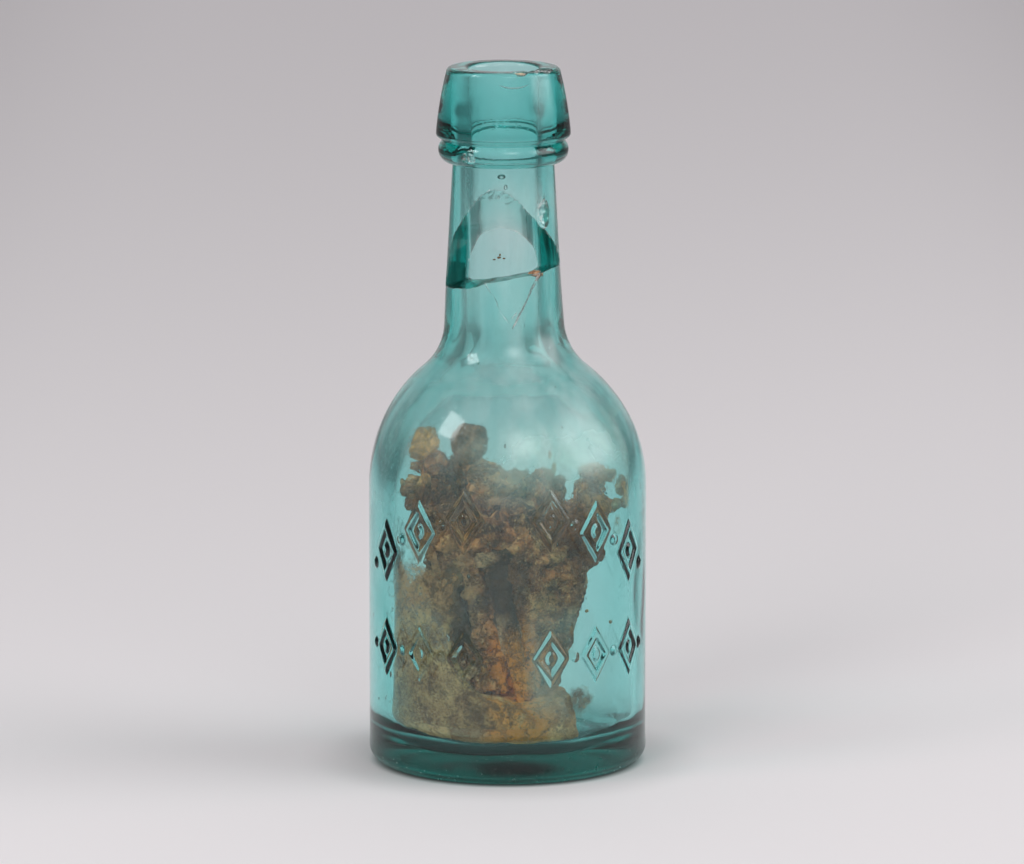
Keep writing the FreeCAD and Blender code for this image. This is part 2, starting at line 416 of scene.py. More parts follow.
class CrustyFinish:
    """Base of the earthy finishes: mottling, and stains at places."""

    def __init__(self, effects: EffectGroups) -> None:
        """Keeps the shared effect groups."""
        self.effects = effects

    def mottled(self, bench: NodeBench, vector: Any, scale: float) -> Any:
        """Places the mottling group and gives its outputs."""
        inputs = {"Vector": vector, "Scale": scale}
        return bench.add("ShaderNodeGroup", inputs, node_tree=self.effects.mottle).outputs

    def stained(
        self, bench: NodeBench, vector: Any, colour: Any, edge: Any, stains: tuple[Stain, ...]
    ) -> Any:
        """Lays stains over a colour.

        Args:
            bench: The material's bench.
            vector: The coordinates.
            colour: The colour beneath.
            edge: A noise that makes the stains ragged.
            stains: The stains, in the order in which they are laid.

        Returns:
            The stained colour.
        """
        for stain in stains:
            inputs = {
                "Vector": vector,
                "Centre": [value * MM for value in stain.centre],
                "Reach": [value * MM for value in stain.reach],
                "Edge": edge,
            }
            mask = bench.add("ShaderNodeGroup", inputs, node_tree=self.effects.spot).outputs["Mask"]
            colour = bench.blend(bench.times(mask, stain.strength), colour, stain.colour)
        return colour


@dataclass(frozen=True)
class CrustColours:
    """Colours and grain of one earthy finish."""

    name: str
    dark: Colour
    middle: Colour
    light: Colour
    mottle_scale: float
    bump: float
    stains: tuple[Stain, ...] = ()
    bump_depth: float = 0.0009


class EarthFinish(CrustyFinish):
    """Rust or silt: three colours mixed by the mottling, with stains, painted shade in the pits and a bump."""

    def make(self, colours: CrustColours) -> bpy.types.Material:
        """Builds the material.

        Args:
            colours: The finish's colours and grain.

        Returns:
            The material.
        """
        material, bench, output = new_material(colours.name)
        vector = bench.add("ShaderNodeTexCoord").outputs["Object"]
        mottle = self.mottled(bench, vector, colours.mottle_scale)
        grain = mottle["Grain"]
        colour = bench.blend(mottle["Patches"], colours.dark, colours.middle)
        flecks = bench.band(grain, 0.5, 0.72)
        colour = bench.blend(bench.times(flecks, 0.75), colour, colours.light)
        broad = bench.noise(vector, colours.mottle_scale * 0.45, 3.0)
        colour = bench.blend(bench.band(broad, 0.52, 0.66, 0.0, 0.6), colour, colours.light)
        colour = self.stained(bench, vector, colour, broad, colours.stains)
        # Painted shade: the bottoms of the pits are darkened as if they lay in shade.
        painted_pit_shade = bench.band(mottle["Pits"], 0.0, 0.6, 0.5, 1.0)
        colour = bench.blend(1.0, colour, painted_pit_shade, "MULTIPLY")
        colour = bench.blend(bench.times(mottle["Clefts"], 0.6), colour, colours.dark)
        colour = bench.blend(bench.band(grain, 0.44, 0.3, 0.0, 0.55), colour, colours.dark)
        shader = bench.add("ShaderNodeBsdfPrincipled", {
            "Base Color": colour,
            "Roughness": bench.band(grain, 0.3, 0.7, 0.72, 0.98),
            "Normal": bench.bump(mottle["Height"], colours.bump, colours.bump_depth),
            "Specular IOR Level": 0.25,
        })
        bench.tree.links.new(shader.outputs["BSDF"], output.inputs["Surface"])
        return material


@dataclass(frozen=True)
class FilmColours:
    """Colours and grain of the dried film: clefts, body, drying edge and the mineral bloom above it.

    The bloom is also a painted reflection of the softboxes on the shoulder.
    """

    name: str
    dark: Colour
    middle: Colour
    pale: Colour
    bloom_and_reflection: Colour
    stains: tuple[Stain, ...]
    mottle_scale: float = 190.0
    patch_scale: float = 120.0
    grain_scale: float = 260.0
    cloud_scale: float = 60.0
    bump: float = 0.6
    bump_depth: float = 0.0006
    thickest: float = 0.97
    bloom_and_reflection_strength: float = 0.64


class FilmFinish(CrustyFinish):
    """Thin dried silt on the inside of the glass, rubbed through in patches, with a mineral bloom above it.

    The bloom is also a painted reflection of the softboxes on the shoulder.
    """

    def make(self, colours: FilmColours) -> bpy.types.Material:
        """Builds the material, which reads the sheet's attributes cover and haze.

        Args:
            colours: The film's colours and grain.

        Returns:
            The material.
        """
        material, bench, output = new_material(colours.name)
        vector = bench.add("ShaderNodeTexCoord").outputs["Object"]
        cover = bench.add("ShaderNodeAttribute", attribute_name="cover").outputs["Fac"]
        haze = bench.add("ShaderNodeAttribute", attribute_name="haze").outputs["Fac"]
        mottle = self.mottled(bench, vector, colours.mottle_scale)
        grain = mottle["Grain"]
        broad = bench.noise(vector, colours.patch_scale, 7.0, 0.66)
        coarse = bench.noise(vector, colours.grain_scale, 6.0, 0.7)
        level = bench.plus(cover, bench.times(bench.less(broad, 0.5), 2.0))
        solid = bench.band(level, 0.34, 0.86)
        edge = bench.between(level, (0.42, 0.47), (0.5, 0.58))
        shown = bench.blend(mottle["Patches"], colours.middle, colours.pale)
        shown = self.stained(bench, vector, shown, broad, colours.stains)
        for share, colour in (
            (bench.band(broad, 0.5, 0.36, 0.0, 0.6), colours.dark),
            (bench.band(coarse, 0.48, 0.38, 0.0, 0.8), colours.dark),
            (bench.band(coarse, 0.56, 0.66, 0.0, 0.6), colours.pale),
            (bench.band(grain, 0.47, 0.32, 0.0, 0.8), colours.dark),
            (bench.times(mottle["Clefts"], 0.5), colours.dark),
            (bench.band(grain, 0.56, 0.72, 0.0, 0.5), colours.pale),
            (bench.times(edge, 0.35), colours.pale),
        ):
            shown = bench.blend(share, shown, colour)
        shown = bench.blend(bench.band(solid, 0.0, 0.12), colours.bloom_and_reflection, shown)
        thin = bench.band(grain, 0.2, 0.6, 0.82, 1.0)
        clouds = bench.band(bench.noise(vector, colours.cloud_scale, 6.0, 0.6), 0.3, 0.7, 0.25, 1.0)
        # The haze attribute gives the pale bloom, which is also a painted reflection of the softboxes on the
        # shoulder.
        bloom_and_reflection_veil = bench.times(haze, clouds, colours.bloom_and_reflection_strength)
        shader = bench.add("ShaderNodeBsdfPrincipled", {
            "Base Color": shown,
            "Alpha": bench.sum("MAXIMUM", bench.times(solid, thin, colours.thickest), bloom_and_reflection_veil),
            "Roughness": bench.band(broad, 0.2, 0.8, 0.75, 0.95),
            "Normal": bench.bump(mottle["Height"], colours.bump, colours.bump_depth),
            "Specular IOR Level": 0.2,
        })
        bench.tree.links.new(shader.outputs["BSDF"], output.inputs["Surface"])
        return material


@dataclass(frozen=True)
class GlassFinish:
    """Aqua bottle glass: coloured by its depth, pitted and hazed, and dusty where it is crushed.

    High up it has a white mineral bloom, strongest on the right, which is also a painted reflection of the
    softboxes.

    Heights are in metres. lamp_tint is what a lamp's light keeps at each surface. It gives back some of the
    red that the depth of the glass takes from it, so that the contents aren't coloured twice.
    """

    name: str = "AquaGlass"
    tint: Colour = (0.07, 0.815, 0.79, 1.0)
    density: float = 120.0
    ior: float = 1.5
    haze_strength: float = 0.45
    haze_roughness: float = 0.34
    # White mineral bloom high up, strongest on the right, which is also a painted reflection of the softboxes.
    bloom_and_reflection: float = 0.17
    lamp_tint: Colour = (1.23, 0.955, 0.95, 1.0)
    dust_and_reflection: Colour = (0.84, 0.85, 0.84, 1.0)
    unhazed_below: Point = (0.01, 0.016)
    shoulder_rise: Point = (0.07, 0.084)
    shoulder_fall: Point = (0.096, 0.108)
    bloom_and_reflection_rise: Point = (0.058, 0.088)
    bloom_and_reflection_fall: Point = (0.139, 0.149)
    rubbed_foot: Point = (0.006, 0.003)

    def _roughness(self, bench: NodeBench, height: Any, broken: Any, clouds: Any, specks: Any) -> Any:
        """Adds up what dulls the glass.

        Args:
            bench: The material's bench.
            height: The height above the floor.
            broken: How fresh a broken face is.
            clouds, specks: Broad and fine noise.

        Returns:
            The roughness.
        """
        shoulder = bench.between(height, self.shoulder_rise, self.shoulder_fall)
        return bench.plus(
            bench.band(clouds, 0.4, 0.75, 0.0, 0.03),
            bench.band(specks, 0.66, 0.74, 0.0, 0.12),
            bench.times(shoulder, 0.07),
            bench.times(broken, 0.05),
            bench.band(height, *self.rubbed_foot, 0.0, 0.22),
        )

    def _dust_and_reflection(self, bench: NodeBench, vector: Any, place: Any, broken: Any) -> Any:
        """Works out how much of the surface is white: mineral bloom, which is also a painted reflection of the
        softboxes, and crushed glass.

        Args:
            bench: The material's bench.
            vector: The coordinates.
            place: The coordinates' parts.
            broken: 0 for the old skin, 0.5 for crushed glass and 1 for a clean break.

        Returns:
            The share of white dust and bloom, the bloom partly a painted reflection.
        """
        upwards = bench.add("ShaderNodeMapping", {"Vector": vector, "Scale": (1.0, 1.0, 0.16)}).outputs[0]
        streaks = bench.band(bench.noise(upwards, 190.0, 5.0, 0.6), 0.34, 0.7, 0.2, 1.0)
        upper = bench.between(place["Z"], self.bloom_and_reflection_rise, self.bloom_and_reflection_fall)
        right = bench.band(place["X"], -0.014, 0.01, 0.5, 1.05)
        # Stronger on the right, where the right softbox's pale reflection falls: painted reflection as well as
        # bloom.
        bloom_and_reflection = bench.times(upper, right, streaks, self.bloom_and_reflection)
        bloom_and_reflection = bench.times(bloom_and_reflection, bench.less(1.0, broken))
        crushed = bench.between(broken, (0.1, 0.4), (0.6, 0.8))
        splinters = bench.band(bench.noise(vector, 800.0, 4.0, 0.65), 0.45, 0.68, 0.03, 0.5)
        return bench.plus(bloom_and_reflection, bench.times(crushed, splinters))

    def make(self) -> bpy.types.Material:
        """Builds the material, which lets the lamps' light through.

        Returns:
            The material.
        """
        material, bench, output = new_material(self.name)
        vector = bench.add("ShaderNodeTexCoord").outputs["Object"]
        broken = bench.add("ShaderNodeAttribute", attribute_name="broken").outputs["Fac"]
        place = bench.parts(vector)
        height = place["Z"]
        clouds = bench.noise(vector, 45.0, 5.0, 0.6)
        specks = bench.noise(vector, 900.0, 2.0, 0.5)
        old_skin = bench.times(bench.band(height, *self.unhazed_below), bench.less(1.0, broken))
        haze = bench.times(bench.band(clouds, 0.42, 0.72), old_skin)
        pitting = bench.plus(bench.band(specks, 0.62, 0.7), bench.times(clouds, 0.4))
        glass = bench.add("ShaderNodeBsdfPrincipled", {
            "Base Color": (1.0, 1.0, 1.0, 1.0),
            "Roughness": self._roughness(bench, height, broken, clouds, specks),
            "IOR": self.ior,
            "Transmission Weight": 1.0,
            "Coat Weight": bench.times(haze, self.haze_strength),
            "Coat Roughness": self.haze_roughness,
            "Normal": bench.bump(pitting, 0.05, 0.0003),
        })
        share = self._dust_and_reflection(bench, vector, place, broken)
        dust_and_reflection = bench.add("ShaderNodeBsdfDiffuse", {"Color": self.dust_and_reflection, "Roughness": 1.0})
        dusted_and_reflecting = bench.add("ShaderNodeMixShader", {0: share, 1: glass.outputs["BSDF"], 2: dust_and_reflection.outputs["BSDF"]})
        clear = bench.add("ShaderNodeBsdfTransparent", {"Color": self.lamp_tint})
        shadow = bench.add("ShaderNodeLightPath").outputs["Is Shadow Ray"]
        lit = bench.add("ShaderNodeMixShader", {0: shadow, 1: dusted_and_reflecting.outputs[0], 2: clear.outputs["BSDF"]})
        depth = bench.add("ShaderNodeVolumeAbsorption", {"Color": self.tint, "Density": self.density})
        bench.tree.links.new(lit.outputs[0], output.inputs["Surface"])
        bench.tree.links.new(depth.outputs["Volume"], output.inputs["Volume"])
        return material


class SectionPen:
    """Draws a wire of radius along X and height along Z, as the half section of a turned piece."""

    def __init__(self, bm: bmesh.types.BMesh, start: Point) -> None:
        """Sets the pen down at a radius and height in millimetres."""
        self.bm = bm
        self.tip = bm.verts.new((start[0] * MM, 0.0, start[1] * MM))

    @property
    def here(self) -> Point:
        """The pen's radius and height in millimetres."""
        return self.tip.co.x / MM, self.tip.co.z / MM

    def line(self, end: Point, spacing: float) -> None:
        """Draws a straight line.

        Args:
            end: Where it ends.
            spacing: The longest edge along it.
        """
        start = Vector(self.here)
        steps = math.ceil(math.dist(self.here, end) / spacing)
        for step in range(1, steps + 1):
            place = start.lerp(Vector(end), step / steps)
            self.tip = bmesh.ops.extrude_vert_indiv(self.bm, verts=[self.tip])["verts"][0]
            self.tip.co = (place.x * MM, 0.0, place.y * MM)

    def arc(self, middle: Point, end: Point, spacing: float) -> None:
        """Draws an arc through a point.

        Args:
            middle: A point on the arc.
            end: Where it ends.
            spacing: The longest edge along it.
        """
        first = Vector(self.here)
        second = Vector(middle)
        third = Vector(end)
        chord_a = second - first
        chord_b = third - first
        cross = 2.0 * (chord_a.x * chord_b.y - chord_a.y * chord_b.x)
        square_a = chord_a.length_squared
        square_b = chord_b.length_squared
        offset = Vector((
            (chord_b.y * square_a - chord_a.y * square_b) / cross,
            (chord_a.x * square_b - chord_b.x * square_a) / cross,
        ))
        centre = first + offset
        start_angle = math.atan2(first.y - centre.y, first.x - centre.x)
        end_angle = math.atan2(third.y - centre.y, third.x - centre.x)
        full = 2.0 * math.pi
        turn = (end_angle - start_angle) % full
        if cross < 0.0:
            turn -= full
        steps = max(2, math.ceil(abs(turn) * offset.length / spacing))
        made = bmesh.ops.spin(
            self.bm, geom=[self.tip], cent=(centre.x * MM, 0.0, centre.y * MM), axis=(0.0, -1.0, 0.0),
            dvec=(0.0, 0.0, 0.0), angle=turn, steps=steps, use_merge=False, use_duplicate=False,
        )
        self.tip = [item for item in made["geom_last"] if isinstance(item, bmesh.types.BMVert)][0]


@dataclass(frozen=True)
class GlassSection:
    """Sizes of the bottle's section, and what follows from them. mouth_end is above neck_top."""

    body_radius: float = 34.1
    wall: float = 5.0
    shoulder_start: float = 68.8
    shoulder_radius: float = 38.0
    heel_radius: float = 4.0
    rest_ring: float = 23.0
    push_up: float = 4.0
    base: float = 6.5
    floor_ring: float = 22.0
    floor_rise: float = 3.0
    bore: float = 8.2
    neck_top: float = 160.5
    neck_top_radius: float = 11.8
    neck_taper: float = 0.058
    neck_fillet: float = 14.7
    inner_neck_fillet: float = 19.0
    lip_bottom: float = 148.5
    top: float = 172.0
    mouth: float = 8.6
    mouth_end: float = 5.0
    bead: float = 15.9
    bead_height: float = 5.5
    groove: float = 14.9
    groove_height: float = 0.6
    collar: float = 16.5
    collar_top: float = 14.0
    collar_bulge: float = 0.3
    collar_edge: float = 1.2
    rim_edge: float = 1.4
    mouth_edge: float = 1.2
    neck_lean: float = -1.0
    lean_from: float = 74.0
    lean_to: float = 122.0

    @property
    def inner_radius(self) -> float:
        """Radius of the body's inside."""
        return self.body_radius - self.wall

    @property
    def shoulder_centre(self) -> Point:
        """Centre of the shoulder's arcs."""
        return self.body_radius - self.shoulder_radius, self.shoulder_start

    def neck_radius(self, height: float) -> float:
        """Outer radius of the neck's straight part."""
        return self.neck_top_radius + self.neck_taper * (self.neck_top - height)

    def shoulder_arcs(
        self, radius: float, line_radius: float, taper: float, fillet: float
    ) -> tuple[Point, ...]:
        """Finds where a shoulder arc, the hollow above it and a neck line meet.

        Args:
            radius: The shoulder arc's radius.
            line_radius: The neck line's radius at the neck's top.
            taper: How much the line's radius grows downwards.
            fillet: The hollow's radius.

        Returns:
            The middle and end of the shoulder's arc, then the middle and end of the hollow's arc.
        """
        centre = Vector(self.shoulder_centre)
        out = Vector((1.0, taper)).normalized()
        along = Vector((-out.y, out.x))
        from_centre = Vector((line_radius, self.neck_top)) + out * fillet - centre
        dot = from_centre.dot(along)
        reach = radius + fillet
        step = -dot + math.sqrt(dot ** 2 - from_centre.length_squared + reach ** 2)
        hollow = centre + from_centre + along * step
        turn = math.atan2(hollow.y - centre.y, hollow.x - centre.x)
        shoulder_middle = centre + radius * Vector((math.cos(turn / 2), math.sin(turn / 2)))
        shoulder_end = centre + radius * Vector((math.cos(turn), math.sin(turn)))
        neck_start = hollow - out * fillet
        hollow_middle = hollow + ((shoulder_end + neck_start) / 2 - hollow).normalized() * fillet
        return tuple(shoulder_middle), tuple(shoulder_end), tuple(hollow_middle), tuple(neck_start)

    @staticmethod
    def dome_middle(radius: float, height: float, rise: float) -> Point:
        """The middle of the arc that rises from a ring of this radius and height to the axis."""
        ball = (radius ** 2 + rise ** 2) / (2 * rise)
        half = math.asin(radius / ball) / 2
        return ball * math.sin(half), height + rise - ball + ball * math.cos(half)

    def outer_body_radius(self, height: float) -> float:
        """Outer radius of the wall and the shoulder below the neck's hollow."""
        rise = height - self.shoulder_start
        if rise <= 0.0:
            return self.body_radius
        return self.shoulder_centre[0] + math.sqrt(self.shoulder_radius ** 2 - rise ** 2)

    def inner_body_radius(self, height: float) -> float:
        """Inner radius of the corner, the wall and the shoulder below the neck's hollow."""
        rise = height - self.shoulder_start
        if rise > 0.0:
            return self.shoulder_centre[0] + math.sqrt((self.shoulder_radius - self.wall) ** 2 - rise ** 2)
        corner = self.inner_radius - self.floor_ring
        drop = min(max(self.base + corner - height, 0.0), corner)
        return self.floor_ring + math.sqrt(corner ** 2 - drop ** 2)

    def floor_height(self, radius: float) -> float:
        """Height of the domed floor at a radius inside its ring."""
        ball = (self.floor_ring ** 2 + self.floor_rise ** 2) / (2 * self.floor_rise)
        return self.base + self.floor_rise - ball + math.sqrt(ball ** 2 - min(radius, self.floor_ring) ** 2)

    def lean(self, height: float) -> float:
        """How far the neck stands aside at a height."""
        return self.neck_lean * smooth_step(self.lean_from, self.lean_to, height)

    def draw(self, bm: bmesh.types.BMesh) -> None:
        """Draws the whole section, from under the base round the lip to the floor inside.

        Args:
            bm: The bmesh that takes the wire.
        """
        foot = self.body_radius - self.heel_radius
        outside = self.shoulder_arcs(
            self.shoulder_radius, self.neck_top_radius, self.neck_taper, self.neck_fillet
        )
        pen = SectionPen(bm, (0.0, self.push_up))
        pen.arc(self.dome_middle(self.rest_ring, 0.0, self.push_up), (self.rest_ring, 0.0), 2.4)
        pen.line((foot, 0.0), 2.4)
        heel_round = self.heel_radius * math.sqrt(0.5)
        pen.arc((foot + heel_round, self.heel_radius - heel_round), (self.body_radius, self.heel_radius), 0.8)
        pen.line((self.body_radius, self.shoulder_start), 1.4)
        pen.arc(outside[0], outside[1], 1.4)
        pen.arc(outside[2], outside[3], 1.4)
        self._draw_lip(pen)
        inside = self.shoulder_arcs(self.shoulder_radius - self.wall, self.bore, 0.0, self.inner_neck_fillet)
        pen.line((self.bore, self.lip_bottom), 1.6)
        pen.line(inside[3], 1.9)
        pen.arc(inside[2], inside[1], 1.6)
        pen.arc(inside[0], (self.inner_radius, self.shoulder_start), 1.8)
        corner = self.inner_radius - self.floor_ring
        pen.line((self.inner_radius, self.base + corner), 2.0)
        corner_round = corner * math.sqrt(0.5)
        corner_middle = (self.floor_ring + corner_round, self.base + corner - corner_round)
        pen.arc(corner_middle, (self.floor_ring, self.base), 1.0)
        floor_middle = self.dome_middle(self.floor_ring, self.base, self.floor_rise)
        pen.arc(floor_middle, (0.0, self.base + self.floor_rise), 2.2)

    def _draw_lip(self, pen: SectionPen) -> None:
        """Draws the neck's straight part and the lip, down to the mouth's lower end.

        Args:
            pen: The pen, at the start of the neck's straight part.
        """
        bead_top = self.lip_bottom + self.bead_height
        collar_bottom = bead_top + self.groove_height + self.collar_edge
        rim = self.top - self.rim_edge
        mouth_top = self.top - self.mouth_edge
        collar_middle = ((self.collar + self.collar_top) / 2 + self.collar_bulge, (collar_bottom + rim) / 2)
        quarter = math.sqrt(0.5)
        pen.line((self.neck_radius(self.lip_bottom), self.lip_bottom), 1.3)
        pen.arc((self.bead, self.lip_bottom + self.bead_height / 2), (self.groove, bead_top), 0.5)
        pen.line((self.collar - self.collar_edge, bead_top + self.groove_height), 0.5)
        pen.arc(
            (self.collar - self.collar_edge * (1 - quarter), collar_bottom - self.collar_edge * quarter),
            (self.collar, collar_bottom), 0.35,
        )
        pen.arc(collar_middle, (self.collar_top, rim), 1.2)
        pen.arc(
            (self.collar_top - self.rim_edge * (1 - quarter), rim + self.rim_edge * quarter),
            (self.collar_top - self.rim_edge, self.top), 0.35,
        )
        pen.line((self.mouth + self.mouth_edge, self.top), 0.9)
        pen.arc(
            (self.mouth + self.mouth_edge * (1 - quarter), mouth_top + self.mouth_edge * quarter),
            (self.mouth, mouth_top), 0.35,
        )
        pen.line((self.mouth, self.neck_top + self.mouth_end), 1.4)

    def is_inside(self, radius: float, height: float) -> bool:
        """Says whether a point of the shell is on its inner side.

        Args:
            radius, height: The point.

        Returns:
            True for the floor, the inner wall and the bore.
        """
        if height < self.base - 0.2 or height > self.neck_top + 1.0:
            return False
        if height < self.shoulder_start + 25.0:
            return radius < self.inner_body_radius(height) + self.wall / 2
        return radius < self.bore + (self.neck_radius(height) - self.bore) / 2

    def waves(self, place: Vector) -> float:
        """How far the inner wall's waves push it outwards at a place, so that they only thin the glass."""
        wide = noise.noise(Vector((place.x / 13.0, place.y / 13.0, place.z / 30.0)))
        small = noise.noise(Vector((place.x / 5.0 + 40.0, place.y / 5.0, place.z / 11.0)))
        body = 0.42 + 0.4 * wide + 0.12 * small
        neck = 0.22 + 0.3 * noise.noise(Vector((place.x / 3.4 + 9.0, place.y / 3.4, place.z / 45.0)))
        share = smooth_step(86.0, 108.0, place.z)
        return max(0.0, body + (neck - body) * share)

    def keep_inside(self, place: Vector, gap: float) -> Vector:
        """Brings a point of the contents back from the glass.

        Args:
            place: The point.
            gap: The least distance from the glass.

        Returns:
            The same point, or the nearest one that clears the glass.
        """
        kept = place.copy()
        radius = math.hypot(kept.x, kept.y)
        kept.z = max(kept.z, self.floor_height(radius) + gap)
        most = self.inner_body_radius(kept.z) - gap
        if radius > most:
            kept.x *= most / radius
            kept.y *= most / radius
        return kept


@dataclass(frozen=True)
class RaisedMotif:
    """One raised shape on the front of the body."""

    kind: Motif
    azimuth: float
    height: float
    half_width: float
    half_height: float
    ridge: float = 1.5
    relief: float = 0.5
    soft: float = 0.55
    margin: float = 1.4

    def is_near(self, across: float, up: float) -> bool:
        """Says whether a place, from the motif's centre along the wall, is on the motif or close round it."""
        return abs(across) < self.half_width + self.margin and abs(up) < self.half_height + self.margin

    def lift(self, across: float, up: float) -> float:
        """How far the glass stands out at a place near the motif.

        Args:
            across, up: The place, from the motif's centre along the wall.

        Returns:
            The height of the relief there.
        """
        away = math.hypot(across, up)
        if self.kind is Motif.BEAD:
            inner = self.half_width - 2.0 * self.soft
            return self.relief * (1.0 - smooth_step(inner, self.half_width + 0.2, away))
        steep = self.half_width * self.half_height / math.hypot(self.half_width, self.half_height)
        edge = (abs(across) / self.half_width + abs(up) / self.half_height - 1.0) * steep
        from_ridge = abs(edge + self.ridge / 2)
        frame_lift = 1.0 - smooth_step(self.ridge / 2 - self.soft, self.ridge / 2 + self.soft, from_ridge)
        heart = 1.0 - smooth_step(0.7, 1.5, math.hypot(across, up * 0.7))
        return self.relief * max(frame_lift, heart)


@dataclass(frozen=True)
class MouldedBands:
    """Two plain bands of lozenges and beads, raised on the body's front. The upper one hangs in a bow."""

    upper_height: float = 66.5
    upper_drop: float = 11.0
    drop_azimuth: float = 60.0
    lower_height: float = 31.5
    lozenge_azimuths: tuple[float, ...] = (18.0, 39.0, 60.0)
    bead_azimuths: tuple[float, ...] = (28.5, 49.5, 70.5)
    upper_lozenge: Point = (4.6, 7.2)
    lower_lozenge: Point = (4.4, 6.6)
    upper_bead: Point = (1.5, 1.5)
    lower_bead: Point = (1.4, 1.4)

    def motifs(self) -> list[RaisedMotif]:
        """Lists the motifs of both bands.

        Returns:
            The motifs, mirrored about the front.
        """
        rows = (
            (Motif.LOZENGE, self.lozenge_azimuths, self.upper_lozenge, self.lower_lozenge),
            (Motif.BEAD, self.bead_azimuths, self.upper_bead, self.lower_bead),
        )
        made = []
        for side in (-1.0, 1.0):
            for kind, azimuths, upper_half, lower_half in rows:
                for azimuth in azimuths:
                    upper = self.upper_height - self.upper_drop * (azimuth / self.drop_azimuth) ** 2
                    made.append(RaisedMotif(kind, side * azimuth, upper, *upper_half))
                    made.append(RaisedMotif(kind, side * azimuth, self.lower_height, *lower_half))
        return made


@dataclass(frozen=True)
class Crack:
    """A thin crack into the glass of the neck, drawn on the outside by azimuth and height."""

    path: tuple[Point, ...]
    depth: float
    slant: float = 0.0
    gap: float = 0.05


@dataclass(frozen=True)
class Chip:
    """A small flake knocked off the outside: its middle and its reach, each round, out and up."""

    azimuth: float
    radius: float
    height: float
    reach: tuple[float, float, float]


